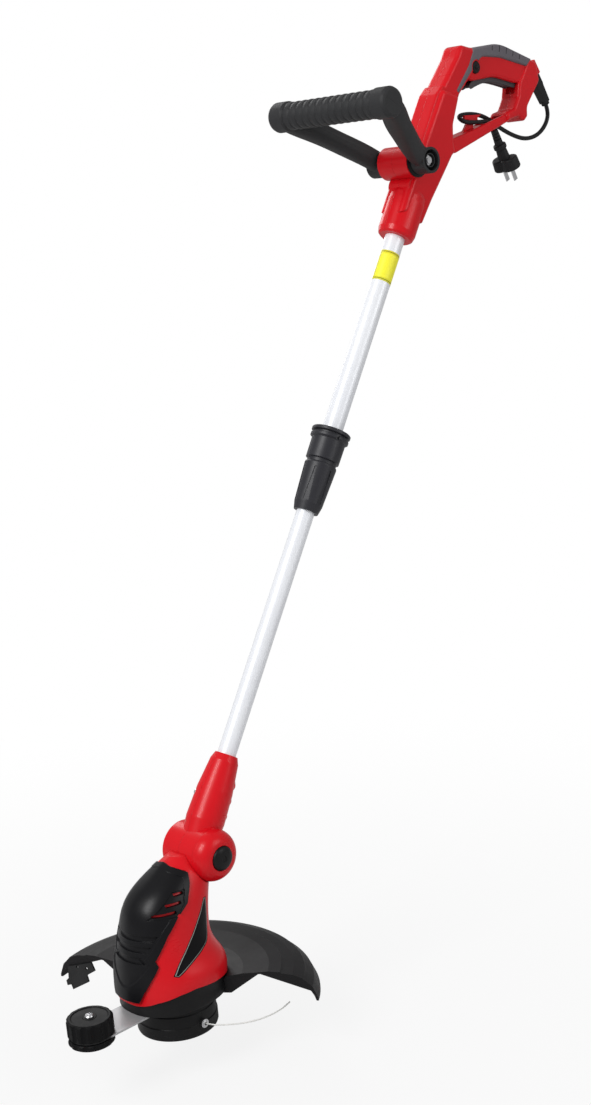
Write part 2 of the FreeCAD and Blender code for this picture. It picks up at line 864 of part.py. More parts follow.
SKIN_GAP = 0.25
COVER_OUTLINE = [
    (4, 194), (16, 187), (12.5, 177), (1, 159), (-16, 148.5), (-32, 132), (-49, 107),
    (-47.5, 101), (-56, 87), (-63, 72), (-67, 60), (-90, 60), (-90, 205), (4, 205),
]
VENT_FIELD = [(-45, 150.5), (-14, 149), (-3, 160), (3.5, 173), (-12, 173.5)]
# cooling slots, as front and rear ends and height, and louvres, as height and rise
VENTS = [(-11, 1, 170), (-24, -5.6, 161.5), (-40, -14.5, 153.5)]
LOUVRES = [(103, 7), (115.5, 6.5), (127.5, 6)]

STEM_TURN = 21
STEM_LENGTH = 52
stem_half = 9


def tongue(half_thickness, radius):
    """The detent disc and the stem that carries it."""
    disc = rod_across(radius, -half_thickness, half_thickness, z.pivot_back, z.pivot_height)
    stem = bar(half_thickness, 2 * stem_half, STEM_LENGTH, -stem_half, -STEM_LENGTH)
    pivot = Vector(0, z.pivot_back, z.pivot_height)
    return fuse(disc, moved(stem, Placement(pivot, Rotation(Vector(1, 0, 0), -STEM_TURN))))


def make_motor_housing():
    """Both halves of the red moulding as one solid, bored for what it holds."""
    cover_room = cut(side_plate(inset(COVER_OUTLINE, -SKIN_GAP), REACH),
                     head_form(-z.cover_depth - SKIN_GAP))
    shell = cut(head_form(0), below_seam(), barrel_space(), cover_room)
    solid = fuse(shell, tongue(z.tongue_half, z.tongue_radius))
    bearing = z.top_bearing_radius
    cavity = turned([
        (0, 30),
        (z.fan_cavity, 30),
        (z.fan_cavity, z.stator_low - 4),
        (z.stator_radius, z.stator_low),
        (z.stator_radius, stator_top + 1),
        (brush_room, stator_top + 8),
        (brush_room, z.top_bearing_low - 4),
        (bearing - 1.5, z.top_bearing_low),
        (bearing, z.top_bearing_low),
        (bearing, z.top_bearing_low + z.top_bearing_height),
        (z.shaft_radius + 2, z.top_bearing_low + z.top_bearing_height),
        (z.shaft_radius + 2, z.shaft_top + 1.5),
        (0, z.shaft_top + 1.5),
    ])
    pin = rod_across(z.pin_radius + z.running_gap, -REACH, REACH, z.pivot_back, z.pivot_height)
    return cut(solid, cavity, pin)


def make_motor_base():
    """The black foot of the motor, with the lower bearing's seat."""
    foot = common(head_form(-z.base_inset), below_seam())
    trimmed = cut(foot, block(-REACH, -REACH, -REACH, 2 * REACH, 2 * REACH, REACH + z.base_low))
    room = turned([
        (0, z.base_low - 1),
        (z.hub_radius + 8, z.base_low - 1),
        (z.hub_radius + 8, z.base_low + 2),
        (z.hub_radius + 2, z.base_low + 5),
        (z.shaft_radius + 2, z.base_low + 5.5),
        (z.shaft_radius + 2, z.bearing_low),
        (z.bearing_radius, z.bearing_low),
        (z.bearing_radius, z.bearing_low + z.bearing_height),
        (z.bearing_radius + 5, z.bearing_low + z.bearing_height + 1),
        (z.fan_cavity - 6, z.bearing_low + z.bearing_height + 1),
        (z.fan_cavity, z.fan_low + 2),
        (z.fan_cavity, 90),
        (0, 90),
    ])
    return cut(trimmed, room)


def make_motor_cover():
    """The black front cover, let into the housing: a raised border round a lower panel, with
    louvres across its front and a sunken field of cooling slots on each side."""
    keel = 2.2
    outside = common(head_form(z.cover_proud, keel), side_plate(COVER_OUTLINE, REACH))
    skin = cut(outside, head_form(-z.cover_depth), barrel_space())
    inner = inset(COVER_OUTLINE, z.cover_frame)
    panel = cut(side_plate(inner, REACH), head_form(z.cover_proud - 0.9, keel))
    bands = [block(-REACH, -REACH, height, 2 * REACH, REACH - 30, rise)
             for height, rise in LOUVRES]
    louvres = cut(common(fuse(*bands), side_plate(inset(inner, 1), REACH)), head_form(-1, keel))
    field = cut(side_plate(VENT_FIELD, REACH), head_form(z.cover_proud - 2.1, keel))
    slots = [block(-REACH, front, height - 1.7, 2 * REACH, rear - front, 3.4)
             for front, rear, height in VENTS]
    return cut(skin, panel, louvres, field, *slots)


def make_tilt_pin():
    """The pivot pin with its flat head, held in the socket's barrel."""
    start = -z.pivot_half + 4
    return fuse(rod_across(z.pin_radius, start, 12, z.pivot_back, z.pivot_height),
                rod_across(z.pin_radius + 2, start, start + 2, z.pivot_back, z.pivot_height))


housing = make_motor_housing()
keep("motor_housing_left", half(housing, 1), HEAD)
keep("motor_housing_right", half(housing, -1), HEAD)
keep("motor_base", make_motor_base(), HEAD)
keep("motor_cover", make_motor_cover(), HEAD)
keep("pivot_pin", make_tilt_pin(), HEAD)


# ---------------------------------------------------------------- guard

# the guard's outer face as (distance from the spindle, height)
GUARD_FACE = [(80, 62), (110, 64.5), (124, 63.8), (126, 62.4), (138, 60.6), (150, 56),
              (151.5, 54.2), (160, 46)]


def make_guard():
    """The swept shield with its flange, ribs and end walls, cut to hug the motor base."""
    wall = z.guard_wall
    rim = z.guard_radius
    flange_top = z.base_low - z.seat_gap
    flange_low = flange_top - wall
    under = [(radius - 1, height - wall) for radius, height in reversed(GUARD_FACE)]
    shield = turned([
        (z.guard_flange, flange_low),
        (z.guard_flange, flange_top),
        (55, flange_top),
        (55, 57),
        (60, 58.5)] + GUARD_FACE + [
        (rim, z.guard_rim_low + 3),
        (rim, z.guard_rim_low),
        (rim - wall, z.guard_rim_low)] + under + [
        (64, 56.5),
        (64, flange_low),
    ], z.guard_span)
    ribs = []
    for share in (0, 0.25, 0.5, 0.75, 1):
        rib = padded("XZ_Plane", [[(60, flange_low), (66, flange_low), (100, 61.8), (62, 57)]], wall)
        inward = put(rib, 0, wall * (0.5 - share), 0)
        ribs.append(at_angle(inward, z.guard_start + z.guard_span * share))
    walls = []
    for share in (0, 1):
        edge = padded("XZ_Plane", [[(100, 61.8), (rim - 8, z.guard_rim_low + 12),
                                    (rim - 1, z.guard_rim_low), (rim - 1, z.guard_rim_low + 2),
                                    (159, 46), (149, 55.5), (134, 61), (110, 63.5)]], wall)
        inward = put(edge, 0, wall * (0.5 - share), 0)
        walls.append(at_angle(inward, z.guard_start + z.guard_span * share))
    guard = fuse(at_angle(shield, z.guard_start), *ribs, *walls)
    base_room = head_form(SKIN_GAP - z.base_inset)
    high = block(-REACH, -REACH, 56.5, 2 * REACH, 2 * REACH, REACH)
    housing_room = common(head_form(z.body_gap), high)
    foot_room = block(-REACH, -REACH, flange_top, 2 * REACH, 2 * REACH, REACH)
    screws = [at_angle(rod(1.9, 8, 53.5, 0, flange_low - 1), angle) for angle in GUARD_SCREWS]
    return cut(guard, common(base_room, foot_room), housing_room, *screws)


GUARD_SCREWS = [50, 90, 130, 180]


def pan_screw(head_radius, head_height, shank_radius, length):
    """A screw that points up from z = 0, with its head below."""
    head = cone(head_radius * 0.8, head_radius, head_height, 0, 0, -head_height)
    shank = rod(shank_radius, length)
    slot = block(-0.5, -head_radius, -head_height - 1, 1, 2 * head_radius, 1.8)
    return cut(fuse(head, shank), slot)


def make_guard_screws():
    under = z.base_low - z.seat_gap - z.guard_wall - z.seat_gap
    screws = []
    for angle in GUARD_SCREWS:
        screw = pan_screw(3.2, 1.9, 1.8, z.guard_wall)
        screw.Placement = Placement(Vector(53.5, 0, under), Rotation())
        screws.append(at_angle(screw, angle))
    return gather(*screws)


keep("guard", make_guard(), HEAD)
keep("guard_screws", make_guard_screws(), HEAD)

cutter_half = 1.1


def make_line_cutter():
    """The notched steel cutter on the guard's end wall that trims the line to length."""
    rim = z.guard_radius
    outline = [(rim - 50, 56), (rim - 14, 45), (rim - 13, 30), (rim - 9, 26), (rim - 10, 20),
               (rim - 16, 22), (rim - 18, 16), (rim - 43, 30), (rim - 41, 38), (rim - 54, 46)]
    blade = padded("XZ_Plane", [outline], 2 * cutter_half)
    holes = [rod(1.7, 6, rim - back, 3, 47, (Vector(1, 0, 0), 90)) for back in (42, 28)]
    plate = put(cut(blade, *holes), 0, cutter_half + z.seat_gap, 0)
    return gather(at_angle(plate, z.guard_start + z.guard_span))


keep("line_cutter", make_line_cutter(), HEAD)


# ---------------------------------------------------------------- edge guide wheel

bracket_low = z.base_low - z.bracket_thick - z.seat_gap


def make_wheel_bracket():
    """The steel tongue under the motor base that carries the wheel."""
    plate = block(-z.bracket_half, -z.wheel_forward, bracket_low, 2 * z.bracket_half,
                  z.wheel_forward - 50, z.bracket_thick)
    end = rod(z.bracket_half, z.bracket_thick, 0, -z.wheel_forward, bracket_low)
    hole = rod(z.axle_radius + z.running_gap, 20, 0, -z.wheel_forward, bracket_low - 5)
    ribs = [block(x, -z.wheel_forward + 26, bracket_low - 1.2, 5, 22, 1.4) for x in (-14, 9)]
    return cut(fuse(plate, end, *ribs), hole)


def lobed(drum, low, height):
    """Scoop finger hollows round a wheel half, so that it has broad lobes."""
    hollow = 6
    scoops = around(LOBES, lambda: rod(hollow, height + 4, z.wheel_radius + hollow - 1.9, 0,
                                       low - 2))
    return cut(drum, *scoops)


LOBES = 14


def make_wheel_upper():
    """The lobed upper half, with a boss for the screw and a sunken face."""
    low = bracket_low + z.bracket_thick + z.body_gap
    top = low + z.wheel_upper
    rim = z.wheel_radius
    bore = z.axle_radius + z.seat_gap
    drum = turned([
        (bore, low), (rim - 1.5, low), (rim, low + 1.5), (rim, top - 2.5), (rim - 1, top - 0.8),
        (rim - 3, top), (rim - 5, top), (rim - 6, top - 0.9), (8, top - 0.9), (7.5, top - 0.5),
        (bore, top - 0.5),
    ])
    return lobed(drum, low, z.wheel_upper)


def make_wheel_lower():
    top = bracket_low - z.body_gap
    low = top - z.wheel_lower
    rim = z.wheel_radius
    bore = z.axle_radius + z.seat_gap
    drum = turned([
        (bore, low + 2), (8, low + 2), (10, low), (rim - 3, low), (rim - 1, low + 1.2),
        (rim, low + 3), (rim, top - 1.5), (rim - 1.5, top), (bore, top),
    ])
    return lobed(drum, low, z.wheel_lower)


def make_wheel_axle():
    """The domed screw that clamps both halves through the bracket."""
    low = bracket_low - z.body_gap - z.wheel_lower
    top = bracket_low + z.bracket_thick + z.body_gap + z.wheel_upper
    face = top - 0.5 + z.seat_gap
    pin = rod(z.axle_radius, face - low - 1, 0, 0, low + 1)
    head = turned([(0, face), (5.2, face), (5.2, face + 1), (4.2, face + 2.3), (2.4, face + 3),
                   (0, face + 3.2)])
    cross = fuse(block(-3, -0.6, face + 1.4, 6, 1.2, 3), block(-0.6, -3, face + 1.4, 1.2, 6, 3))
    return cut(fuse(pin, head), cross)


WHEEL = Frame(HEAD.y - z.wheel_forward, HEAD.height, 0)
keep("wheel_bracket", make_wheel_bracket(), HEAD)
keep("wheel_upper", make_wheel_upper(), WHEEL)
keep("wheel_lower", make_wheel_lower(), WHEEL)
keep("wheel_axle", make_wheel_axle(), WHEEL)


# ---------------------------------------------------------------- lower tube and its socket

tube_seat = z.lower_outer / 2 + z.seat_gap
tube_low = 34
SCREW_HEAD = 3.2
SCREW_SHANK = 1.7


def cross_screw(y, height, x, x_end):
    """A screw along X: its head starts at x."""
    head = rod_across(SCREW_HEAD, x, x + 2, y, height)
    shank = rod_across(SCREW_SHANK, x, x_end, y, height)
    slot = block(x - 1, y - 2.2, height - 0.4, 1.8, 4.4, 0.8)
    return cut(fuse(head, shank), slot)


def cross_hole(y, height, x, x_end):
    """The stepped hole for such a screw, open on the -X side."""
    return fuse(rod_across(SCREW_HEAD + z.body_gap, -REACH, x + 2 + z.seat_gap, y, height),
                rod_across(SCREW_SHANK + z.seat_gap, -REACH, x_end + 0.5, y, height))


# the rear edge of the socket, scalloped for the fingers
FINGER_WAVE = [(8, 31, 0), (21, 35, 4), (26, 45, 6), (20.5, 54, 4), (25, 63, 6), (19.5, 72, 4),
               (23.5, 81, 6), (17, 92, 4), (8, 97, 0)]
# screws of the socket: y, height, x of the head and x of the tip
SOCKET_SCREWS = [(-16, 62, -12.5, 9), (16.5, 62, -12.5, 9), (-14.5, 18.5, -26, 14),
                 (22.5, 18.5, -26, 14)]


def make_socket():
    """Both halves of the lower socket: the pivot barrel and the sleeve that holds the tube."""
    barrel = rounded(turned([(0, -z.pivot_half), (z.pivot_radius, -z.pivot_half),
                             (z.pivot_radius, z.pivot_half), (0, z.pivot_half)]),
                     4, level_edges(-z.pivot_half, z.pivot_half))
    put(barrel, 0, z.shaft_forward, 0, *ALONG_X)
    top = z.socket_top
    sleeve = turned([
        (0, 5),
        (20, 5),
        (22.8, 35),
        (21.25, 70),
        (16.75, top - 8),
        (13.5, top),
        (0, top),
    ])
    fingers = shaped_plate(FINGER_WAVE, 8.5, 2.5)
    pocket = rod_across(z.tongue_radius + z.body_gap, -z.tongue_half - z.body_gap,
                        z.tongue_half + z.body_gap, z.shaft_forward, 0)
    mouth = side_plate([(4, 0), (-43.4, -44.2), (-10, -90), (60, -90), (61, -22)],
                       z.tongue_half + z.body_gap)
    bore = rod(tube_seat, top, 0, 0, tube_low)
    pin = fuse(rod_across(z.pin_radius + z.seat_gap, -z.pivot_half + 3.9, 12.1,
                          z.shaft_forward, 0),
               rod_across(z.pin_radius + 2 + z.seat_gap, -z.pivot_half + 3.9,
                          -z.pivot_half + 6.1, z.shaft_forward, 0))
    button_room = rod_across(BUTTON_RADIUS + z.body_gap, button_x - z.tilt_press, REACH,
                             z.shaft_forward, 0)
    screws = [cross_hole(*place) for place in SOCKET_SCREWS]
    return cut(fuse(barrel, sleeve, fingers), pocket, mouth, bore, pin, button_room, *screws)


BUTTON_RADIUS = 12
button_x = z.pivot_half - 4


def make_tilt_button():
    """The domed release button on the end of the pivot barrel, with a thumb dimple."""
    cap = turned([(0, 0), (BUTTON_RADIUS, 0), (BUTTON_RADIUS, 5), (BUTTON_RADIUS - 2, 7),
                  (BUTTON_RADIUS - 6, 8.2), (0, 8.6)])
    put(cap, button_x, z.shaft_forward, 0, *ALONG_X)
    dimple = rod_across(2.5, button_x + 8, REACH, z.shaft_forward, 0)
    return cut(cap, dimple)


def make_socket_screws():
    return gather(*[cross_screw(*place) for place in SOCKET_SCREWS])


def tube(outer, low, high):
    """A drawn tube with its wall from the sheet."""
    radius = outer / 2
    return turned([(radius - z.tube_wall, low), (radius, low), (radius, high),
                   (radius - z.tube_wall, high)])


lower_tube_top = collar_station + z.tube_overlap


def make_tube_guide():
    """The plastic bush on the end of the lower tube that runs inside the upper tube."""
    radius = z.lower_outer / 2
    running = z.upper_outer / 2 - z.tube_wall - z.running_gap
    top = lower_tube_top + z.seat_gap
    return turned([
        (radius - 3, top - 14),
        (radius - z.tube_wall - z.seat_gap, top - 14),
        (radius - z.tube_wall - z.seat_gap, top),
        (running, top),
        (running, top + 7),
        (running - 1, top + 8),
        (radius - 3, top + 8),
    ])


socket = make_socket()
keep("socket_left", half(socket, 1), SHAFT)
keep("socket_right", half(socket, -1), SHAFT)
keep("socket_screws", make_socket_screws(), SHAFT)
keep("tilt_button", make_tilt_button(), SHAFT)
keep("lower_tube", tube(z.lower_outer, tube_low + z.seat_gap, lower_tube_top), SHAFT)
keep("tube_guide", make_tube_guide(), SHAFT)


# ---------------------------------------------------------------- locking collar

COLLAR = Frame(*along_shaft(SHAFT.y, SHAFT.height, 0, collar_station), -z.shaft_lean)
nut_bore = z.lower_outer / 2 + z.body_gap
collet_bore = z.lower_outer / 2 + z.running_gap
neck_bore = z.collet_radius + z.seat_gap
neck_radius = z.collet_radius + 2
neck_low = z.nut_height - 24
collar_seat = z.upper_outer / 2 + z.seat_gap
upper_tube_low = collar_station + z.nut_height + 6


def make_collar_nut():
    """The twist nut: a tapered sleeve with long wedge-shaped flutes."""
    thread = neck_radius + z.body_gap
    sleeve = turned([
        (nut_bore, 0),
        (15, 0),
        (z.nut_low_radius, 10),
        (z.nut_top_radius, z.nut_height - 2),
        (z.nut_top_radius - 0.5, z.nut_height - z.body_gap),
        (thread, z.nut_height - z.body_gap),
        (thread, neck_low - 3),
        (nut_bore, neck_low - 10),
    ])
    flutes = around(6, make_flute)
    return cut(sleeve, *flutes)


def make_flute():
    """A wedge that widens downwards, laid on the nut's taper."""
    wedge = padded("YZ_Plane", [[(-1, 42), (1, 42), (3.4, 0), (-3.4, 0)]], 6, middle=False)
    return put(wedge, z.nut_low_radius - 0.9, 0, 11, Vector(0, 1, 0), 2.9)


def make_collar_body():
    """The fixed collar: a neck for the nut, a barrel, and two rings at its top."""
    low = z.nut_height
    top = low + z.collar_height
    body = turned([
        (neck_bore, neck_low),
        (neck_radius, neck_low),
        (neck_radius, low),
        (18, low),
        (18, low + 4),
        (z.collar_radius, low + 5),
        (z.collar_radius + 0.3, top - 13),
        (z.collar_radius + 3, top - 11),
        (z.collar_radius + 3, top - 8),
        (z.collar_radius, top - 7),
        (z.collar_radius, top - 5),
        (z.flange_radius, top - 4),
        (z.flange_radius, top - 1),
        (z.flange_radius - 1, top),
        (collar_seat, top),
        (collar_seat, low + 6),
        (neck_bore, low + 5),
    ])
    notch = block(z.collar_radius, -2, top - 12, 9, 4, 5.5)
    return cut(body, at_angle(notch, -20))


def make_collet():
    """The split ring that the nut squeezes onto the lower tube."""
    low = neck_low - 2
    top = z.nut_height + 4.5
    ring = turned([
        (collet_bore, low),
        (z.collet_radius - 1, low),
        (z.collet_radius, low + 3),
        (z.collet_radius, top),
        (collet_bore, top),
    ])
    slits = around(4, lambda: block(0, -0.6, low - 1, 20, 1.2, 18))
    return cut(ring, *slits)


upper_tube_top = handle_station + 120

keep("collar_nut", make_collar_nut(), COLLAR)
keep("collar_body", make_collar_body(), COLLAR)
keep("collet", make_collet(), COLLAR)
keep("upper_tube", tube(z.upper_outer, upper_tube_low, upper_tube_top), SHAFT)


# ---------------------------------------------------------------- rear handle

# The handle's side outlines, as (behind the shaft axis, above the clamp's lower end, and the
# radius of the corner).
SPINE = [(-20.5, 24, 0), (-20.5, 132, 0), (-19, 194, 10), (13, 203, 4), (19, 165, 10),
         (28, 148, 8), (37, 137, 4), (34, 130, 4), (31, 108, 0), (24, 62, 0), (21, 30, 0)]
PANEL = [(-22.6, 70, 2), (-22.6, 184, 8), (-18, 199, 5), (-6, 203, 0), (-6, 66, 0)]
NOSE = [(-19, 180, 0), (-15, 205, 30), (-8.5, 245, 30), (-9, 262, 9), (8, 268.5, 6), (24, 277, 0),
        (31, 262, 6), (27, 240, 8), (17, 207, 10), (18, 180, 0)]
TOP_BAR = [(2, 258, 0), (12, 266, 0), (50, 296, 80), (117, 317, 0), (132, 300, 0), (122, 276, 0),
           (112, 280, 0), (67, 263, 60), (33, 236, 14), (10, 230, 0)]
REAR_POST = [(114, 318, 0), (130, 322, 4), (147, 305, 8), (144, 287, 0), (140, 262, 12),
             (146, 252, 4), (143, 242, 5), (130, 243, 6), (113, 226, 0), (106, 234, 6),
             (118, 246, 8), (118, 264, 10), (112, 280, 0)]
LOWER_BAR = [(33, 137, 0), (44, 140, 8), (111, 220, 0), (130, 243, 0), (126, 252, 0),
             (117, 242, 0), (59, 181, 0), (34, 156, 10), (20, 150, 0)]
HOOK = [(54, 172), (70, 189), (66, 200), (80.7, 211), (78, 216), (48, 197), (50, 192.5), (57, 196)]
CORD_SLOT = [(112, 232), (82, 226), (71, 207), (79, 196), (98, 188), (126, 216)]
TRIGGER = [(110, 284, 0), (115, 279, 2), (112, 272.5, 4), (71, 254.7, 40), (41, 229, 3),
           (35, 233, 3), (42, 246, 20), (70, 269, 30), (102, 284, 10)]
TRIGGER_ROOM = [(117, 283), (116, 290), (98, 294), (66, 282), (38, 260), (28, 244), (24, 228),
                (44, 218), (75, 250), (119, 270)]
GRIP = [(12, 269, 0), (52, 302, 80), (119, 320, 0), (115, 307, 3), (64, 288, 60), (32, 270, 14),
        (24, 246, 20), (13, 204, 3), (6, 206, 3), (13, 246, 20)]
# slanted grooves across the soft grip, as (back, along)
GRIP_GROOVES = [(44, 286), (57, 292), (70, 297), (83, 301.5), (96, 305.5)]
hinge_y = 110
hinge_along = 279
HANDLE_SCREWS = [(27, 116, -17, 12), (0, 150, -17, 12), (4, 232, -12.5, 10),
                 (128, 308, -12.5, 10), (138, 250, -12.5, 10), (38, 150, -9, 8)]


def make_clamp():
    """The clamp with its shoulder and the neck above it."""
    wide = z.clamp_radius
    return turned([(0, 0), (wide - 4, 0), (wide - 1.5, 2), (wide, 8), (wide, 46), (wide - 1, 54),
                   (wide - 3.5, 60), (wide - 5, 66), (wide - 5, 76), (0, 76)])


def make_handle_form():
    """The outside of the rear handle without the soft grip's layer."""
    core_half = z.loop_half - z.grip_skin
    spine = shaped_plate(SPINE, z.spine_half, 7)
    panel = shaped_plate(PANEL, z.spine_half - 4.5, 3)
    nose = shaped_plate(NOSE, z.loop_half, 6)
    top_bar = shaped_plate(TOP_BAR, core_half, 4)
    rear_post = shaped_plate(REAR_POST, z.loop_half, 4)
    lower_bar = shaped_plate(LOWER_BAR, z.bar_half, 3)
    hub = rod_across(z.hub_size, -z.hub_half, z.hub_half, -z.hub_forward, z.hub_along)
    bridge = bar(z.spine_half - 2, 24, 30, -z.hub_forward, z.hub_along - 15)
    brow = rod_across(13, -z.spine_half + 3, z.spine_half - 3, -9, 64)
    hook = side_plate(HOOK, 1.8)
    gland_boss = carried(gland_block(7.5, -14, 5), GLAND, HANDLE)
    return fuse(make_clamp(), spine, panel, nose, top_bar, rear_post, lower_bar, hub, bridge, brow,
                hook, gland_boss)


def make_rear_handle():
    """Both halves of the handle moulding, with room for all that they hold."""
    tube_bore = rod(z.upper_outer / 2 + z.seat_gap, upper_tube_top - handle_station + 0.1, 0, 0, 0)
    trigger_room = side_plate(TRIGGER_ROOM, z.trigger_half + z.body_gap)
    slot = side_plate(CORD_SLOT, 7.4)
    bolt = rod_across(z.bolt_radius + z.running_gap, -REACH, REACH, -z.hub_forward, z.hub_along)
    button = rod_across(z.lock_radius + z.body_gap, LOCK_X - 5, REACH, LOCK_PLACE[0], LOCK_PLACE[1])
    hinge = rod_across(2.5, -11, 11, hinge_y, hinge_along)
    switch = side_plate(SWITCH_ROOM, 8)
    gland = carried(gland_block(6 + z.seat_gap, -10 - z.seat_gap, 40), GLAND, HANDLE)
    screws = [cross_hole(*place) for place in HANDLE_SCREWS]
    return cut(handle_form, tube_bore, trigger_room, slot, bolt, button, hinge, switch,
               gland, *screws)


LOCK_PLACE = (28, 252)
LOCK_X = 10
SWITCH = [(60, 283), (92, 296.5), (89, 304), (57, 290.5)]
SWITCH_ROOM = [(59.8, 282.5), (92.5, 296.2), (89.2, 304.6), (56.5, 290.8)]


def make_grip():
    """The soft inlay over the top of the hand loop and down its front post."""
    half_width = z.loop_half + 0.6
    skin = shaped_plate(GRIP, half_width, 3)
    button = rod_across(z.lock_radius + 2, -REACH, REACH, *LOCK_PLACE)
    grooves = [bar(REACH, 1.4, 30, y, along, 20) for y, along in GRIP_GROOVES]
    core = put(shaped_plate(GRIP, half_width - 1, 3), 0, 0.6, -1)
    return cut(cut(skin, handle_form, button), cut(gather(*grooves), core))


def make_trigger():
    """The long finger lever, hinged at its rear end."""
    lever = shaped_plate(TRIGGER, z.trigger_half, 1.5)
    pin = rod_across(2.4, -10.8, 10.8, hinge_y, hinge_along)
    return fuse(lever, pin)


def make_lock_button():
    face = z.loop_half - 0.5
    wide = z.lock_radius
    stem = rod_across(wide, LOCK_X, face, *LOCK_PLACE)
    rim = cone(wide, wide - 1.5, 1.2, face, *LOCK_PLACE, ALONG_X)
    pip = turned([(0, 0), (3.2, 0), (2.9, 2), (1.8, 3), (0, 3.4)])
    return fuse(stem, rim, put(pip, face, *LOCK_PLACE, *ALONG_X))


def make_switch():
    return side_plate(SWITCH, 7.9)


# the gland ends where the cord begins, on the cord's own line
CORD_START = (109, -56.4)
GLAND_TURN = -146.4
GLAND_LENGTH = 49
GLAND = Frame(CORD_START[0] + GLAND_LENGTH * math.sin(math.radians(GLAND_TURN)),
              CORD_START[1] - GLAND_LENGTH * math.cos(math.radians(GLAND_TURN)), GLAND_TURN)


def carried(thing, frame, into):
    """Place a piece that is drawn in one frame among the pieces of another."""
    return moved(thing, placement(into).inverse().multiply(placement(frame)))


def placement(frame):
    return Placement(Vector(0, frame.y, frame.height), Rotation(Vector(1, 0, 0), float(frame.turn)))


def gland_block(half_width, low, high):
    """A square bar along the gland's axis."""
    return block(-half_width, -half_width, low, 2 * half_width, 2 * half_width, high - low)


def make_strain_relief():
    """The flexible sleeve that the cord leaves the handle through."""
    root = gland_block(6, -10, 21)
    tail = padded("YZ_Plane", [[(-6, 20), (6, 20), (4.4, 46), (-4.4, 46)]], 11)
    end = rod(5.4, 5, 0, 0, GLAND_LENGTH - 5)
    return fuse(root, tail, end)


handle_form = make_handle_form()
handle = make_rear_handle()
keep("handle_left", half(handle, 1), HANDLE)
keep("handle_right", half(handle, -1), HANDLE)
keep("handle_screws", gather(*[cross_screw(*place) for place in HANDLE_SCREWS]), HANDLE)
keep("soft_grip", make_grip(), HANDLE)
keep("trigger", make_trigger(), HANDLE)
keep("lock_button", make_lock_button(), HANDLE)
keep("switch_body", make_switch(), HANDLE)
keep("strain_relief", make_strain_relief(), GLAND)


# ---------------------------------------------------------------- front handle

disc_x = z.hub_half + z.seat_gap
arm_x = z.hub_half + 3


def make_hub_disc(side):
    """The toothed disc between the hub and an arm."""
    disc = turned([
        (z.bolt_radius + z.running_gap, 0),
        (z.hub_size - 1, 0),
        (z.hub_size - 1, 1.2),
        (z.hub_size - 4, 2.6),
        (z.bolt_radius + z.running_gap, 2.6),
    ])
    put(disc, disc_x, 0, 0, *ALONG_X)
    if side < 0:
        put(disc, -disc_x, 0, 0, Vector(0, 1, 0), -90)
    return disc


# the middle line of an arm and its section, as (x, along the loop, half width, half depth),
# with x counted from the arm's middle at the hub
ARM_SECTIONS = [(0, -4, 9.5, 12.5), (0, 12, 10, 12.5), (6, 34, 11.5, 12.5), (19, 66, 13.5, 12),
                (34, 98, 14.5, 12.5), (44, 118, 13, 13.5), (46, 131, 11, 14.5)]


def arm_section(x, along, half_width, half_depth, slope):
    """One rounded section across an arm that leans outwards by a slope."""
    lean = math.atan(slope)
    points = []
    count = 20
    for index in range(count):
        angle = 2 * math.pi * index / count
        side = math.copysign(abs(math.cos(angle)) ** 0.75, math.cos(angle)) * half_width
        back = math.copysign(abs(math.sin(angle)) ** 0.75, math.sin(angle)) * half_depth
        points.append(Vector(x + side * math.cos(lean), back, along - side * math.sin(lean)))
    curve = Part.BSplineCurve()
    curve.interpolate(Points=points, PeriodicFlag=True)
    return Part.Wire([curve.toShape()])


def make_arm(side):
    """An arm of the front handle, lofted from the hub to the end of the grip bar."""
    slopes = [0, 0.12, 0.36, 0.45, 0.48, 0.3, 0]
    middle = (float(arm_x) + float(z.arm_hub_half)) / 2
    stretch = (float(z.arm_grip_half) - middle) / ARM_SECTIONS[-1][0]
    rise = float(z.arm_reach) / ARM_SECTIONS[-1][1]
    wires = []
    for (x, along, half_width, half_depth), slope in zip(ARM_SECTIONS, slopes):
        wires.append(arm_section(side * (middle + x * stretch), along * rise, half_width,
                                 half_depth, side * slope))
    solid = doc.addObject("Part::Feature", "arm")
    solid.Shape = Part.makeLoft(wires, True, False)
    return solid


def make_grip_bar():
    """The ringed grip bar between two collars."""
    lobes = 13
    pitch = 2 * (z.arm_grip_half - 11) / lobes
    low = -lobes * pitch / 2
    radius = z.front_grip_radius
    outline = [(0, low)]
    for index in range(lobes):
        foot = low + index * pitch
        outline += [(radius, foot), (radius + 1.1, foot + 1.6), (radius + 1.6, foot + 0.5 * pitch),
                    (radius + 1.1, foot + pitch - 1.6)]
    bar_piece = turned(outline + [(radius, -low), (0, -low)])
    wide = z.grip_collar
    collars = [turned([(0, -12), (wide - 2, -12), (wide, -9.5), (wide, 8), (wide - 1.5, 11),
                       (wide - 4, 12.5), (0, 12.5)]) for side in (1, -1)]
    half_length = z.arm_grip_half
    put(collars[0], half_length, 0, z.arm_reach, Vector(0, 1, 0), 90)
    put(collars[1], -half_length, 0, z.arm_reach, Vector(0, 1, 0), -90)
    return fuse(put(bar_piece, 0, 0, z.arm_reach, *ALONG_X), *collars)


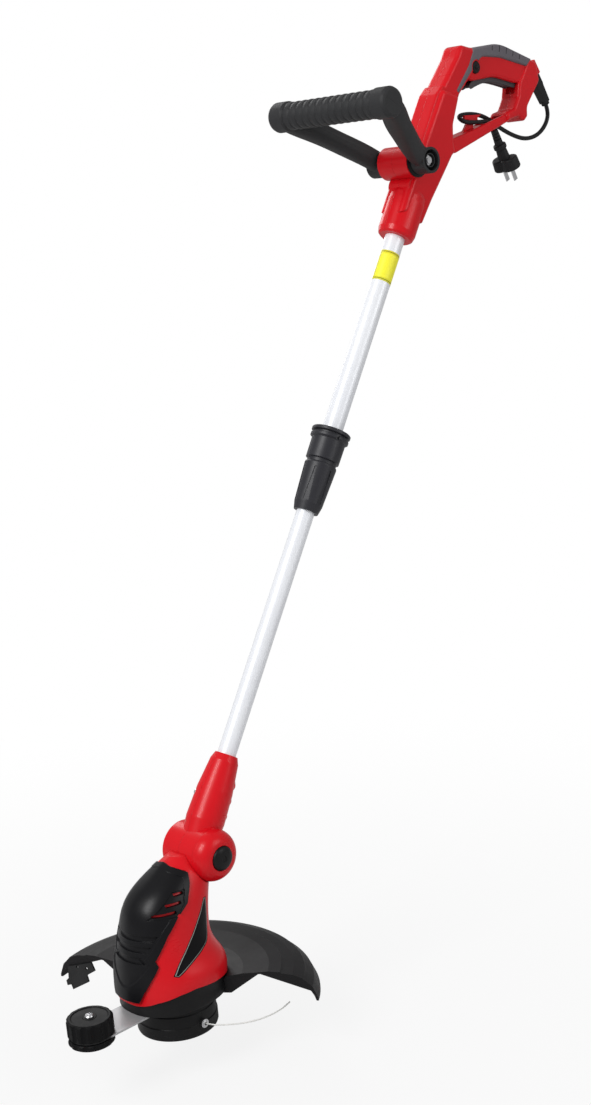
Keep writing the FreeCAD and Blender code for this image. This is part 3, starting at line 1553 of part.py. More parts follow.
def make_front_handle():
    """The closed front loop: two arms, a grip bar and the bosses on the hub's bolt."""
    outer = z.arm_hub_half
    bosses = [rod_across(15.6, arm_x, outer, 0, 0), rod_across(15.6, -outer, -arm_x, 0, 0)]
    cups = [cut(rod_across(12.5, outer - 12, REACH, 0, 0), rod_across(8.5, 0, outer - 2, 0, 0)),
            cut(rod_across(12.5, -REACH, -outer + 12, 0, 0), rod_across(8.5, -outer + 2, 0, 0, 0))]
    bolt = rod_across(z.bolt_radius + z.running_gap, -REACH, REACH, 0, 0)
    heads = [rod_across(7.2, outer - 10, REACH, 0, 0), rod_across(7.2, -REACH, -outer + 10, 0, 0)]
    hub_room = rod_across(z.hub_size + 1.5, -arm_x, arm_x, 0, 0)
    solid = fuse(make_arm(1), make_arm(-1), *bosses, make_grip_bar())
    return cut(cut(solid, gather(*cups)), bolt, hub_room, *heads)


def slab(side):
    """The space on one side of the front handle's own plane."""
    low = 0 if side > 0 else -REACH
    return block(-REACH, low, -REACH, 2 * REACH, REACH, 2 * REACH)


def make_handle_bolt():
    """The through bolt with its hexagon head and its nut."""
    outer = z.arm_hub_half
    shank = rod_across(z.bolt_radius, -outer + 3, outer - 3, 0, 0)
    head = hexagon(6.4, 5, outer - 10 + z.seat_gap)
    return fuse(shank, head)


def hexagon(radius, thickness, x):
    prism = doc.addObject("Part::Prism", "hexagon")
    prism.Polygon = 6
    tie(prism, "Circumradius", radius)
    tie(prism, "Height", thickness)
    return put(prism, x, 0, 0, *ALONG_X)


def make_handle_nut():
    nut = hexagon(6.4, 5, -z.arm_hub_half + 10 - z.seat_gap - 5)
    bore = rod_across(z.bolt_radius + z.seat_gap, -REACH, REACH, 0, 0)
    return cut(nut, bore)


loop = make_front_handle()
keep("front_handle_top", common(loop, slab(1)), FRONT)
keep("front_handle_bottom", common(loop, slab(-1)), FRONT)
keep("handle_bolt", make_handle_bolt(), FRONT)
keep("handle_nut", make_handle_nut(), FRONT)
keep("hub_discs", gather(make_hub_disc(1), make_hub_disc(-1)), FRONT)


# ---------------------------------------------------------------- mains cord and plug

CORD_ROUTE = [
    (0, 109, -56.4), (0, 114.5, -67), (1, 106, -83), (1, 87.5, -96), (0, 63, -100.5),
    (-1, 38, -95), (-2.5, 11, -83.5), (-3.8, -14, -69), (-5, -41, -64), (-4.8, -69, -66),
    (4.8, -69, -75), (5, -44, -76), (3.8, -24, -75), (0.5, -6.9, -77.7), (0, -2.8, -86.3),
]
PLUG = Frame(-2.8, -86.3, -154.3)


def make_plug():
    """The moulded plug: a ribbed neck, a collar and a two-lobed body."""
    neck = cone(4.6, 5.6, 20)
    grooves = [rod(7, 1.2, 0, 0, height) for height in (4, 8, 12)]
    ringed = cut(neck, *[cut(groove, rod(4, 40, 0, 0, -5)) for groove in grooves])
    collar = rounded(turned([(0, 20), (8.5, 20), (8.5, 27), (0, 27)]), 2, level_edges(20, 27))
    stem = cone(6.5, 8, 16, 0, 0, 24)
    lobes = [rounded(turned([(0, 40), (11.5, 40), (12.5, 56), (0, 56)]), 2.5,
                     level_edges(40, 56)) for side in (1, -1)]
    put(lobes[0], 6.5)
    put(lobes[1], -6.5)
    return fuse(ringed, collar, stem, *lobes)


def make_plug_blades():
    pins = [block(x - 0.75, -3.2, 56 + z.seat_gap, 1.5, 6.4, 16) for x in (-6.5, 6.5)]
    return gather(*pins)


keep("mains_cord", tube_along("mains_cord", CORD_ROUTE, float(z.cord_radius)), ROW)
keep("plug", make_plug(), PLUG)
keep("plug_blades", make_plug_blades(), PLUG)


# ---------------------------------------------------------------- checks and files

doc.recompute()
for thing in doc.Objects:
    if "Invalid" in thing.State or "Error" in thing.State:
        raise RuntimeError(thing.Label + " failed: " + str(thing.State))
for node in nodes:
    if node.Shape.isNull() or not node.Shape.isValid():
        raise RuntimeError(node.Label + " has no valid shape")

os.makedirs("parts", exist_ok=True)
for node in nodes:
    node.Shape.exportStep("parts/" + node.Label + ".step")
print(len(nodes), "sub-parts written")
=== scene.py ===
import json
import math

import bpy
import numpy as np
from mathutils import Matrix, Vector


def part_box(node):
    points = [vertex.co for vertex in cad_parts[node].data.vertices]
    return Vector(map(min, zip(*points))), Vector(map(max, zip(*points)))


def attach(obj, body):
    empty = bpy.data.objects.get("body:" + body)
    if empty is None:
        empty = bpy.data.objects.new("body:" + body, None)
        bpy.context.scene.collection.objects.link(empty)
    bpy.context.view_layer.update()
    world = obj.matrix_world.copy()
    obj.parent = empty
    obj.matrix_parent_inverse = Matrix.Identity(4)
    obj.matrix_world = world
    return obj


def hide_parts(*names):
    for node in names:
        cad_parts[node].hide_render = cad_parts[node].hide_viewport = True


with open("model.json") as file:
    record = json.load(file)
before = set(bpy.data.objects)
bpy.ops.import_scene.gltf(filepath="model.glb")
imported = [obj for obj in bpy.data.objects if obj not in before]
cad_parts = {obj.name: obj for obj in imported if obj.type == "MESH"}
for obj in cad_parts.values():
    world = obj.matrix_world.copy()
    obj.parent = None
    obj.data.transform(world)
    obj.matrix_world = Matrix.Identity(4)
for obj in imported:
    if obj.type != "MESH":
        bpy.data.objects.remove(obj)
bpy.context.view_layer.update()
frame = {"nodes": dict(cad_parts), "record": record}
nodes = frame["nodes"]

MM = 0.001

# places in the shared frame, in mm unless they say otherwise
LEAN = math.radians(32)      # of the shaft, from upright
SHAFT_WAY = np.array((0, math.sin(LEAN), math.cos(LEAN)))     # up the shaft
SHAFT_FRONT = np.array((0, -math.cos(LEAN), math.sin(LEAN)))  # square to it, forwards
ACROSS = np.array((1, 0, 0))
MOUNT = (65, 286)            # the frame's origin, as the rear handle's (back, along)
HEAD = (0, -668.446, -1059.606)
PIVOT = (0, -613.446, -866.606)
WHEEL_AXIS = (0, -0.787946, 0)         # metres
FLOOR_MIDDLE = (0, -0.66, -1.06)       # metres


def from_handle(back, along):
    """The rear handle's (back, along) as (y, z): from the mount, and turned by the lean."""
    back, along = back - MOUNT[0], along - MOUNT[1]
    return (back * math.cos(LEAN) + along * math.sin(LEAN),
            along * math.cos(LEAN) - back * math.sin(LEAN))


# ---------------------------------------------------------------- node tools

def feed(tree, socket, value):
    """Give a socket a link or a number."""
    if isinstance(value, bpy.types.NodeSocket):
        tree.links.new(value, socket)
    else:
        socket.default_value = value


def add(tree, kind, settings, *values, **named):
    """A shader node with its settings, and its inputs in order or by name."""
    node = tree.nodes.new("ShaderNode" + kind)
    for name, value in settings.items():
        setattr(node, name, value)
    for socket, value in zip(node.inputs, values):
        feed(tree, socket, value)
    for name, value in named.items():
        feed(tree, node.inputs[name.replace("_", " ")], value)
    return node


def calc(tree, operation, *values, **settings):
    """The result of one sum."""
    return add(tree, "Math", {"operation": operation, **settings}, *values).outputs[0]


def remap(tree, value, before, after, **settings):
    """A value taken from one range to another, and held inside it."""
    return add(tree, "MapRange", settings, value, *before, *after).outputs["Result"]


def here(tree):
    """The place on the object, in metres."""
    return add(tree, "TexCoord", {}).outputs["Object"]


def distance(tree, place, middle):
    node = add(tree, "VectorMath", {"operation": "DISTANCE"}, place, middle)
    return node.outputs["Value"]


def seen_directly(tree):
    """1 for what the camera sees by itself or through something clear."""
    rays = add(tree, "LightPath", {}).outputs
    return calc(tree, "MAXIMUM", rays["Is Camera Ray"], rays["Is Transmission Ray"])


def noise(tree, scale, detail=2, stretch=(1, 1, 1)):
    """Noise in object coordinates, between 0 and 1, with a scale for each axis."""
    spread = add(tree, "VectorMath", {"operation": "MULTIPLY"}, here(tree), stretch)
    return add(tree, "TexNoise", {}, Vector=spread.outputs[0], Scale=scale,
               Detail=detail).outputs["Fac"]


def new_group(name, inputs, outputs):
    """An empty node group with its named sockets: the tree, its inputs and its outputs."""
    group = bpy.data.node_groups.new(name, "ShaderNodeTree")
    for label, kind, value in inputs:
        socket = group.interface.new_socket(label, in_out="INPUT",
                                            socket_type="NodeSocket" + kind)
        socket.default_value = value
    for label, kind in outputs:
        group.interface.new_socket(label, in_out="OUTPUT", socket_type="NodeSocket" + kind)
    start = group.nodes.new("NodeGroupInput")
    end = group.nodes.new("NodeGroupOutput")
    return group, start.outputs, end.inputs


def use(tree, group, **values):
    """A group placed in a material, with its inputs by name."""
    node = tree.nodes.new("ShaderNodeGroup")
    node.node_tree = group
    for name, value in values.items():
        feed(tree, node.inputs[name.replace("_", " ")], value)
    return node.outputs


def new_material(name):
    material = bpy.data.materials.new(name)
    material.use_nodes = True
    tree = material.node_tree
    return material, tree, tree.nodes["Principled BSDF"]


def place_object(name, data):
    item = bpy.data.objects.new(name, data)
    bpy.context.scene.collection.objects.link(item)
    return item


# ---------------------------------------------------------------- camera, floor and light

CAMERA_TURN = 46.92        # degrees round the tool, from its front towards its left side
CAMERA_RISE = 12.31        # degrees above level
CAMERA_ROLL = 5.10         # degrees that the camera leans
CAMERA_PLACE = (1.3602, -1.6918, -0.1520)
CAMERA_REACH = 50          # metres that it sees
FOCAL_TO_HEIGHT = 1.4566   # focal length over the picture's height
FLOOR_DROP = 0.048         # the guide wheel comes so far under the spool in a full tilt
FLOOR_REACH = 12           # metres to each side
FLOOR_SHADE = 0.6
SHADOW_FADE = (0.15, 1.3)  # metres from the floor's middle over which the shadow fades out
WHITE_SHARE = (0.86, 1)    # of plain white in the floor, before and after the fade
AMBIENT = 0.4
LAMP_AIM = (0, -0.45, -0.5)
# name, place, width and height in metres, power in watts
LAMPS = [("key", (0.2, -2.9, 1.5), (1.2, 1.6), 74),
         ("side", (2.6, 0.6, 0.6), (1.0, 2.0), 20),
         ("rim", (-2.4, 0.4, 1.0), (1.0, 2.0), 22)]


def add_camera():
    """Right, up and back axes from the turn and rise, leaned by the roll."""
    turn = math.radians(CAMERA_TURN)
    rise = math.radians(CAMERA_RISE)
    roll = math.radians(CAMERA_ROLL)
    back = Vector((math.sin(turn) * math.cos(rise), -math.cos(turn) * math.cos(rise),
                   math.sin(rise)))
    right = Vector((math.cos(turn), math.sin(turn), 0))
    up = back.cross(right)
    leaned_right = right * math.cos(roll) - up * math.sin(roll)
    leaned_up = right * math.sin(roll) + up * math.cos(roll)
    data = bpy.data.cameras.new("camera")
    data.lens = data.sensor_width * FOCAL_TO_HEIGHT
    data.clip_end = CAMERA_REACH
    camera = place_object("camera", data)
    axes = Matrix((leaned_right, leaned_up, back)).transposed()
    camera.matrix_world = Matrix.Translation(CAMERA_PLACE) @ axes.to_4x4()
    bpy.context.scene.camera = camera


def add_lamp(name, place, size, power):
    """A rectangular lamp that points at the middle of the tool."""
    data = bpy.data.lights.new(name, "AREA")
    data.shape = "RECTANGLE"
    data.size, data.size_y = size
    data.energy = power
    lamp = place_object(name, data)
    lamp.location = place
    aim = Vector(LAMP_AIM) - Vector(place)
    lamp.rotation_euler = aim.to_track_quat("-Z", "Y").to_euler()


def floor_finish():
    """Matt white that keeps the tool's shadow near it, and fades to plain white far off.

    Its underside is clear, so that a camera under the floor sees the tool."""
    material, tree, shader = new_material("floor")
    shader.inputs["Base Color"].default_value = (FLOOR_SHADE, FLOOR_SHADE, FLOOR_SHADE, 1)
    shader.inputs["Roughness"].default_value = 0.9
    shader.inputs["Specular IOR Level"].default_value = 0.1
    white = add(tree, "Emission", {}, Color=(1, 1, 1, 1), Strength=1)
    fade = remap(tree, distance(tree, here(tree), FLOOR_MIDDLE), SHADOW_FADE, WHITE_SHARE,
                 interpolation_type="SMOOTHSTEP")
    share = calc(tree, "MULTIPLY", fade, seen_directly(tree))
    above = add(tree, "MixShader", {}, share, shader.outputs[0], white.outputs[0])
    clear = add(tree, "BsdfTransparent", {})
    side = add(tree, "NewGeometry", {})
    both = add(tree, "MixShader", {}, side.outputs["Backfacing"], above.outputs[0],
               clear.outputs[0])
    feed(tree, tree.nodes["Material Output"].inputs["Surface"], both.outputs[0])
    return material


def add_floor():
    """A pale floor, low enough for every tilt of the head, and see-through from below."""
    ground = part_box("bump_knob")[0].z - FLOOR_DROP
    mesh = bpy.data.meshes.new("floor")
    corners = [(-1, -1), (1, -1), (1, 1), (-1, 1)]
    mesh.from_pydata([(x * FLOOR_REACH, y * FLOOR_REACH, ground) for x, y in corners], [],
                     [(0, 1, 2, 3)])
    floor = place_object("floor", mesh)
    mesh.materials.append(floor_finish())


def add_world():
    """Plain soft light all round, and white where the camera looks past the tool."""
    world = bpy.data.worlds.new("studio")
    world.use_nodes = True
    tree = world.node_tree
    tree.nodes.clear()
    ambient = add(tree, "Background", {}, Color=(1, 1, 1, 1), Strength=AMBIENT)
    backdrop = add(tree, "Background", {}, Color=(1, 1, 1, 1), Strength=1)
    both = add(tree, "MixShader", {}, seen_directly(tree), ambient.outputs[0],
               backdrop.outputs[0])
    add(tree, "OutputWorld", {}, Surface=both.outputs[0])
    bpy.context.scene.world = world


add_camera()
add_floor()
add_world()
for lamp_facts in LAMPS:
    add_lamp(*lamp_facts)
bpy.context.scene.view_settings.view_transform = "Standard"


# ---------------------------------------------------------------- cord

CORD_ROUTE = [
    (0, 109, -56.4), (0, 114.5, -67), (1, 106, -83), (1, 87.5, -96), (0, 63, -100.5),
    (-1, 38, -95), (-2.5, 11, -83.5), (-3.8, -14, -69), (-5, -41, -64), (-4.8, -69, -66),
    (4.8, -69, -75), (5, -44, -76), (3.8, -24, -75), (0.5, -6.9, -77.7), (0, -2.8, -86.3),
]
CORD_DIAMETER = 5.6 * MM


def smooth_curve(name, points, diameter):
    """One open NURBS spline of order 3 with the route's points as its control points."""
    data = bpy.data.curves.new(name, "CURVE")
    data.dimensions = "3D"
    spline = data.splines.new("NURBS")
    spline.points.add(len(points) - 1)
    for point, (x, y, height) in zip(spline.points, points):
        point.co = (x * MM, y * MM, height * MM, 1)
        point.radius = diameter / 2
    spline.order_u = 3
    spline.use_endpoint_u = True
    data.resolution_u = 12
    data.bevel_depth = 1      # times each point's radius, in metres
    data.bevel_resolution = 5
    data.use_fill_caps = True
    return place_object(name, data)


def add_mains_cord():
    """The mains lead from its gland, round the cord hook, to the plug."""
    cord = smooth_curve("mains_lead", CORD_ROUTE, CORD_DIAMETER)
    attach(cord, "handle")
    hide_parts("mains_cord")
    return cord


mains_lead = add_mains_cord()


# ---------------------------------------------------------------- shared surface effects

BEVEL_SAMPLES = 4
MID_GREY = (0.5, 0.5, 0.5, 1)
GLOSS_PATCHES = 14.0       # patches of gloss to a metre


def surface_group():
    """Rounded edges with a fine moulded grain on top."""
    group, given, result = new_group(
        "moulded_surface",
        [("Edge Radius", "Float", 0.0006), ("Grain Scale", "Float", 900.0),
         ("Grain Depth", "Float", 0.00001)],
        [("Normal", "Vector")])
    soft = add(group, "Bevel", {"samples": BEVEL_SAMPLES}, given["Edge Radius"])
    grain = noise(group, given["Grain Scale"], 3)
    bump = add(group, "Bump", {}, Strength=1.0, Distance=given["Grain Depth"], Height=grain,
               Normal=soft.outputs[0])
    feed(group, result["Normal"], bump.outputs[0])
    return group


def gloss_group():
    """Roughness that wanders between two values in broad patches and fine smears."""
    group, given, result = new_group(
        "uneven_gloss",
        [("Smooth", "Float", 0.3), ("Rough", "Float", 0.4),
         ("Scale", "Float", GLOSS_PATCHES)],
        [("Roughness", "Float")])
    broad = noise(group, given["Scale"], 3)
    fine = noise(group, 120.0, 2, (1, 1, 5))
    both = calc(group, "MULTIPLY_ADD", fine, 0.35, broad)
    feed(group, result["Roughness"],
         remap(group, both, (0.45, 0.9), (given["Smooth"], given["Rough"])))
    return group


def edge_group():
    """A mask that is 1 where an edge is rubbed."""
    group, given, result = new_group(
        "rubbed_edges", [("Width", "Float", 0.0008), ("Amount", "Float", 1.0)],
        [("Mask", "Float")])
    soft = add(group, "Bevel", {"samples": BEVEL_SAMPLES}, given["Width"])
    plain = add(group, "NewGeometry", {})
    same = add(group, "VectorMath", {"operation": "DOT_PRODUCT"}, soft.outputs[0],
               plain.outputs["Normal"])
    turn = remap(group, same.outputs["Value"], (1.0, 0.8), (0.0, 1.0))
    patch = remap(group, noise(group, 60.0, 4), (0.4, 0.65), (0.15, 1.0))
    rubbed = calc(group, "MULTIPLY", turn, patch)
    feed(group, result["Mask"],
         calc(group, "MULTIPLY", rubbed, given["Amount"], use_clamp=True))
    return group


def tone_group():
    """A colour that shifts a little towards a second one, and a third by a mask: rubbed edges
    on mouldings, painted shade on the wheel bracket.
    """
    group, given, result = new_group(
        "shifting_colour",
        [("Colour", "Color", MID_GREY), ("Shift", "Color", MID_GREY),
         ("Edge", "Color", MID_GREY), ("Rubbed", "Float", 0.0), ("Scale", "Float", 9.0)],
        [("Colour", "Color")])
    patch = remap(group, noise(group, given["Scale"], 4), (0.35, 0.7), (0.0, 1.0))
    base = add(group, "MixRGB", {}, patch, given["Colour"], given["Shift"])
    worn = add(group, "MixRGB", {}, given["Rubbed"], base.outputs[0], given["Edge"])
    feed(group, result["Colour"], worn.outputs[0])
    return group


def flake_group():
    """The glitter of a metallic paint: tiny flakes, each a little lighter or darker."""
    group, given, result = new_group(
        "paint_flakes", [("Scale", "Float", 2500.0)], [("Shade", "Float")])
    cells = add(group, "TexVoronoi", {}, Vector=here(group), Scale=given["Scale"])
    value = add(group, "SeparateColor", {}, cells.outputs["Color"])
    feed(group, result["Shade"],
         remap(group, value.outputs[0], (0.0, 1.0), (0.965, 1.03)))
    return group


SURFACE = surface_group()
GLOSS = gloss_group()
EDGES = edge_group()
TONE = tone_group()
FLAKES = flake_group()


# ---------------------------------------------------------------- materials

WORN_WIDTH = 1.5           # width of a rubbed edge over the edge's radius
METAL_RADIUS = 0.0003
METAL_GRAIN = (1500, 0.000004)     # scale, and depth in metres
METAL_PATCHES = 40.0       # patches of colour to a metre, and of gloss
METAL_SMEARS = 60.0
PAINTED_SHADE_REACH = (0.0245, 0.0262)   # painted shade: metres from the wheel's axis, from all black to all bright


def dress(tree, shader, colour, gloss, grain, radius, patches=GLOSS_PATCHES):
    """Feed a shader its colour, its uneven gloss, its grain (scale, depth) and edges."""
    feed(tree, shader.inputs["Base Color"], colour)
    feed(tree, shader.inputs["Roughness"],
         use(tree, GLOSS, Smooth=gloss[0], Rough=gloss[1], Scale=patches)["Roughness"])
    feed(tree, shader.inputs["Normal"],
         use(tree, SURFACE, Edge_Radius=radius, Grain_Scale=float(grain[0]),
             Grain_Depth=grain[1])["Normal"])


def moulded(name, colour, shift, edge, gloss, grain, radius=0.0006, specular=0.3, wear=0.3,
            coat=0):
    """Moulded plastic or rubber: shifting colour, uneven gloss, grain and rubbed edges."""
    material, tree, shader = new_material(name)
    rubbed = use(tree, EDGES, Width=radius * WORN_WIDTH, Amount=float(wear))["Mask"]
    tone = use(tree, TONE, Colour=(*colour, 1), Shift=(*shift, 1), Edge=(*edge, 1),
               Rubbed=rubbed)["Colour"]
    dress(tree, shader, tone, gloss, grain, radius)
    shader.inputs["Specular IOR Level"].default_value = specular
    shader.inputs["Coat Weight"].default_value = coat
    return material


def metal(name, colour, shift, gloss, metallic=1):
    """Plated or worked metal with faint drawing marks."""
    material, tree, shader = new_material(name)
    tone = use(tree, TONE, Colour=(*colour, 1), Shift=(*shift, 1), Edge=(*colour, 1),
               Scale=METAL_PATCHES)["Colour"]
    dress(tree, shader, tone, gloss, METAL_GRAIN, METAL_RADIUS, METAL_SMEARS)
    shader.inputs["Metallic"].default_value = metallic
    return material


def bracket_finish():
    """Plain bright steel, with painted shade where it runs between the wheel's halves."""
    material, tree, shader = new_material("bracket_steel")
    # painted shade where the bracket runs between the wheel's halves: dark within a distance
    # of the wheel's axis
    level = add(tree, "VectorMath", {"operation": "MULTIPLY"}, here(tree), (1, 1, 0))
    far = distance(tree, level.outputs[0], WHEEL_AXIS)
    inside = remap(tree, far, PAINTED_SHADE_REACH, (1.0, 0.0))
    # the edge colour here is the painted shade, laid by that mask
    tone = use(tree, TONE, Colour=(0.5, 0.5, 0.51, 1), Shift=(0.42, 0.42, 0.43, 1),
               Edge=(0.02, 0.02, 0.021, 1), Rubbed=inside, Scale=METAL_PATCHES)["Colour"]
    dress(tree, shader, tone, (0.38, 0.5), METAL_GRAIN, METAL_RADIUS)
    shader.inputs["Metallic"].default_value = 0.45
    return material


def silver_paint():
    """Pale metallic paint with flakes under a thin clear coat."""
    material, tree, shader = new_material("silver_paint")
    base = use(tree, TONE, Colour=(0.87, 0.885, 0.92, 1),
               Shift=(0.83, 0.845, 0.89, 1))["Colour"]
    shade = use(tree, FLAKES)["Shade"]
    tinted = add(tree, "MixRGB", {"blend_type": "MULTIPLY"}, 1.0, base, shade)
    dress(tree, shader, tinted.outputs[0], (0.28, 0.4), (500, 0.000002), METAL_RADIUS)
    shader.inputs["Metallic"].default_value = 0.08
    shader.inputs["Coat Weight"].default_value = 0.15
    return material


# each moulding's colour, the one it shifts to and its rubbed edge, then its gloss and grain
RED_LOOK = {"colour": (0.67, 0.004, 0.0105), "shift": (0.62, 0.0035, 0.009),
            "edge": (0.74, 0.015, 0.02), "gloss": (0.27, 0.36), "grain": (1100, 0.000008),
            "specular": 0.25, "coat": 0.04}
RED = moulded("red_moulding", radius=0.0008, wear=0.35, **RED_LOOK)
RED_CRISP = moulded("red_moulding_crisp", radius=0.0001, wear=0, **RED_LOOK)
BLACK = moulded("black_moulding", (0.0055, 0.0055, 0.006), (0.008, 0.008, 0.0085),
                (0.022, 0.022, 0.024), (0.36, 0.48), (900, 0.000012), specular=0.2)
COLLAR = moulded("collar_moulding", (0.02, 0.02, 0.025), (0.026, 0.026, 0.031),
                 (0.05, 0.05, 0.056), (0.36, 0.48), (900, 0.000014), specular=0.35)
COVER = moulded("cover_moulding", (0.004, 0.004, 0.005), (0.0055, 0.0055, 0.0068),
                (0.022, 0.022, 0.025), (0.3, 0.4), (1200, 0.000006), 0.0007, 0.2)
GUARD = moulded("guard_moulding", (0.009, 0.0085, 0.0095), (0.013, 0.0125, 0.0135),
                (0.03, 0.03, 0.032), (0.4, 0.52), (700, 0.00002), 0.0008, 0.16)
DARK = moulded("handle_texture", (0.024, 0.0245, 0.026), (0.03, 0.03, 0.032),
               (0.055, 0.055, 0.058), (0.5, 0.62), (600, 0.00004), 0.0009, 0.25)
GREY = moulded("grey_rubber", (0.12, 0.108, 0.125), (0.14, 0.128, 0.145),
               (0.17, 0.16, 0.175), (0.5, 0.66), (800, 0.00004))
TUBE = silver_paint()
STEEL = metal("zinc_steel", (0.7, 0.7, 0.71), (0.6, 0.6, 0.62), (0.26, 0.4))
DARK_STEEL = metal("blackened_steel", (0.02, 0.02, 0.021), (0.03, 0.03, 0.031), (0.35, 0.5),
                   metallic=0.6)
BRACKET = bracket_finish()
COPPER = metal("copper", (0.72, 0.32, 0.18), (0.6, 0.24, 0.13), (0.25, 0.4))
LINE = moulded("nylon_line", (0.8, 0.8, 0.77), (0.72, 0.72, 0.7), (0.85, 0.85, 0.82),
               (0.3, 0.45), (400, 0.00001), 0.0002, 0.4, wear=0.1)
LEVER = moulded("lever_moulding", (0.055, 0.051, 0.056), (0.066, 0.061, 0.067),
                (0.09, 0.085, 0.09), (0.45, 0.6), (800, 0.00003), 0.0005)
RUBBER = moulded("wheel_moulding", (0.0035, 0.0035, 0.004), (0.005, 0.005, 0.0055),
                 (0.014, 0.014, 0.015), (0.4, 0.52), (800, 0.00002), specular=0.12)
CORD = moulded("cord_rubber", (0.009, 0.009, 0.01), (0.013, 0.013, 0.014),
               (0.025, 0.025, 0.026), (0.42, 0.6), (700, 0.00002), 0.0004, 0.25)

FINISH = {"red_plastic": RED, "black_plastic": BLACK, "grey_rubber": GREY,
          "silver_tube": TUBE, "steel": STEEL, "copper": COPPER, "cord_rubber": CORD,
          "nylon_line": LINE}
SPECIAL = {"motor_cover": COVER, "guard": GUARD, "front_handle_top": DARK,
           "front_handle_bottom": DARK, "line_cutter": DARK_STEEL, "wheel_bracket": BRACKET,
           "wheel_upper": RUBBER, "wheel_lower": RUBBER, "plug": CORD,
           "collar_nut": COLLAR, "collar_body": COLLAR}
slots = {part["node"]: part["material_slot"] for part in frame["record"]["subparts"]}
for name, node in nodes.items():
    node.data.materials.clear()
    node.data.materials.append(SPECIAL.get(name, FINISH[slots[name]]))
mains_lead.data.materials.append(CORD)


# ---------------------------------------------------------------- piece tools

def cubic(t, start, end, slope, end_slope):
    """A cubic from start to end with those slopes, t of the way along."""
    return ((2 * t ** 3 - 3 * t ** 2 + 1) * start + (t ** 3 - 2 * t ** 2 + t) * slope
            + (3 * t ** 2 - 2 * t ** 3) * end + (t ** 3 - t ** 2) * end_slope)


def smooth_line(corners, count):
    """Points along a smooth line through corners: cubic pieces with centred slopes."""
    corners = np.array(corners, float)
    slopes = np.gradient(corners, axis=0)
    share = np.linspace(0, len(corners) - 1, count)
    piece = np.minimum(share.astype(int), len(corners) - 2)
    return cubic((share - piece)[:, None], corners[piece], corners[piece + 1],
                 slopes[piece], slopes[piece + 1])


def closed_line(corners, count, slack=0.42):
    """Points along a closed smooth line through corners, and its unit normals, inwards.

    A corner's slope is its slack times the way between its neighbours."""
    corners = np.array(corners, float)
    slopes = slack * (np.roll(corners, -1, 0) - np.roll(corners, 1, 0))
    share = np.linspace(0, len(corners), count, endpoint=False)
    piece = share.astype(int)
    after = (piece + 1) % len(corners)
    line = cubic((share - piece)[:, None], corners[piece], corners[after],
                 slopes[piece], slopes[after])
    run = np.roll(line, -1, 0) - np.roll(line, 1, 0)
    run /= np.linalg.norm(run, axis=1, keepdims=True)
    return line, np.column_stack((-run[:, 1], run[:, 0]))


def numbered(rows, columns):
    """The number of each point in rows and columns."""
    return np.arange(rows * columns).reshape(rows, columns)


def new_piece(name, points, faces, material, sharp=None):
    """A smooth-shaded object at the origin from points in metres, creased past an angle."""
    mesh = bpy.data.meshes.new(name)
    mesh.from_pydata(points.reshape(-1, 3).tolist(), [], faces)
    mesh.shade_smooth()
    if sharp is not None:
        mesh.set_sharp_from_angle(angle=math.radians(sharp))
    mesh.materials.append(material)
    return place_object(name, mesh)


def grid_piece(name, points, material):
    """A sheet from points in rows and columns, to be made solid by a modifier."""
    corner = numbered(*points.shape[:2])
    faces = np.stack((corner[:-1, :-1], corner[:-1, 1:],
                      corner[1:, 1:], corner[1:, :-1]), -1)
    return new_piece(name, points, faces.reshape(-1, 4).tolist(), material)


def thicken(piece, thickness, side):
    """Make a sheet solid: inwards for side -1, outwards for side 1."""
    solid = piece.modifiers.new("thick", "SOLIDIFY")
    solid.thickness = thickness
    solid.offset = side


# ---------------------------------------------------------------- badge on the head

# the badge's front and rear outlines on the head's side, from foot to tip, as (y, z)
BADGE_FRONT = [(-34, 87.5), (-25, 98.4), (-13, 110.2), (-0.6, 123.1), (9.8, 134.7),
               (19, 144.5), (27, 154)]
BADGE_REAR = [(-30.5, 86), (-19, 91.2), (-5, 97.2), (9, 103.2), (21, 110.8), (26.5, 130),
              (30, 153.5)]
BADGE_ROWS, BADGE_COLUMNS = 40, 12
BADGE_REACH = 42           # from the badge's middle to its ends, mm
BADGE_START = 0.09         # x that the sheet is laid from, clear of the head, metres
LAYER_SHARE = 0.8          # a layer's thickness over its lift from the housing
NEAR_TIP = 0.5             # from the middle line, where the outlines nearly meet
BADGE_LOOK = {"gloss": (0.34, 0.42), "grain": (1500, 0.000003), "radius": 0.0002}
BADGE = moulded("badge_black", (0.003, 0.0028, 0.0036), (0.004, 0.0036, 0.0046),
                (0.006, 0.006, 0.008), specular=0.12, **BADGE_LOOK)
BADGE_EDGE = moulded("badge_edge", (0.3, 0.29, 0.27), (0.26, 0.25, 0.235),
                     (0.3, 0.3, 0.28), **BADGE_LOOK)


def moved_out(line, middle, margin):
    """A line moved away from the middle one by the margin, or less where they nearly meet."""
    out = line - middle
    return line + margin * out / np.maximum(np.linalg.norm(out, axis=1, keepdims=True),
                                         NEAR_TIP)


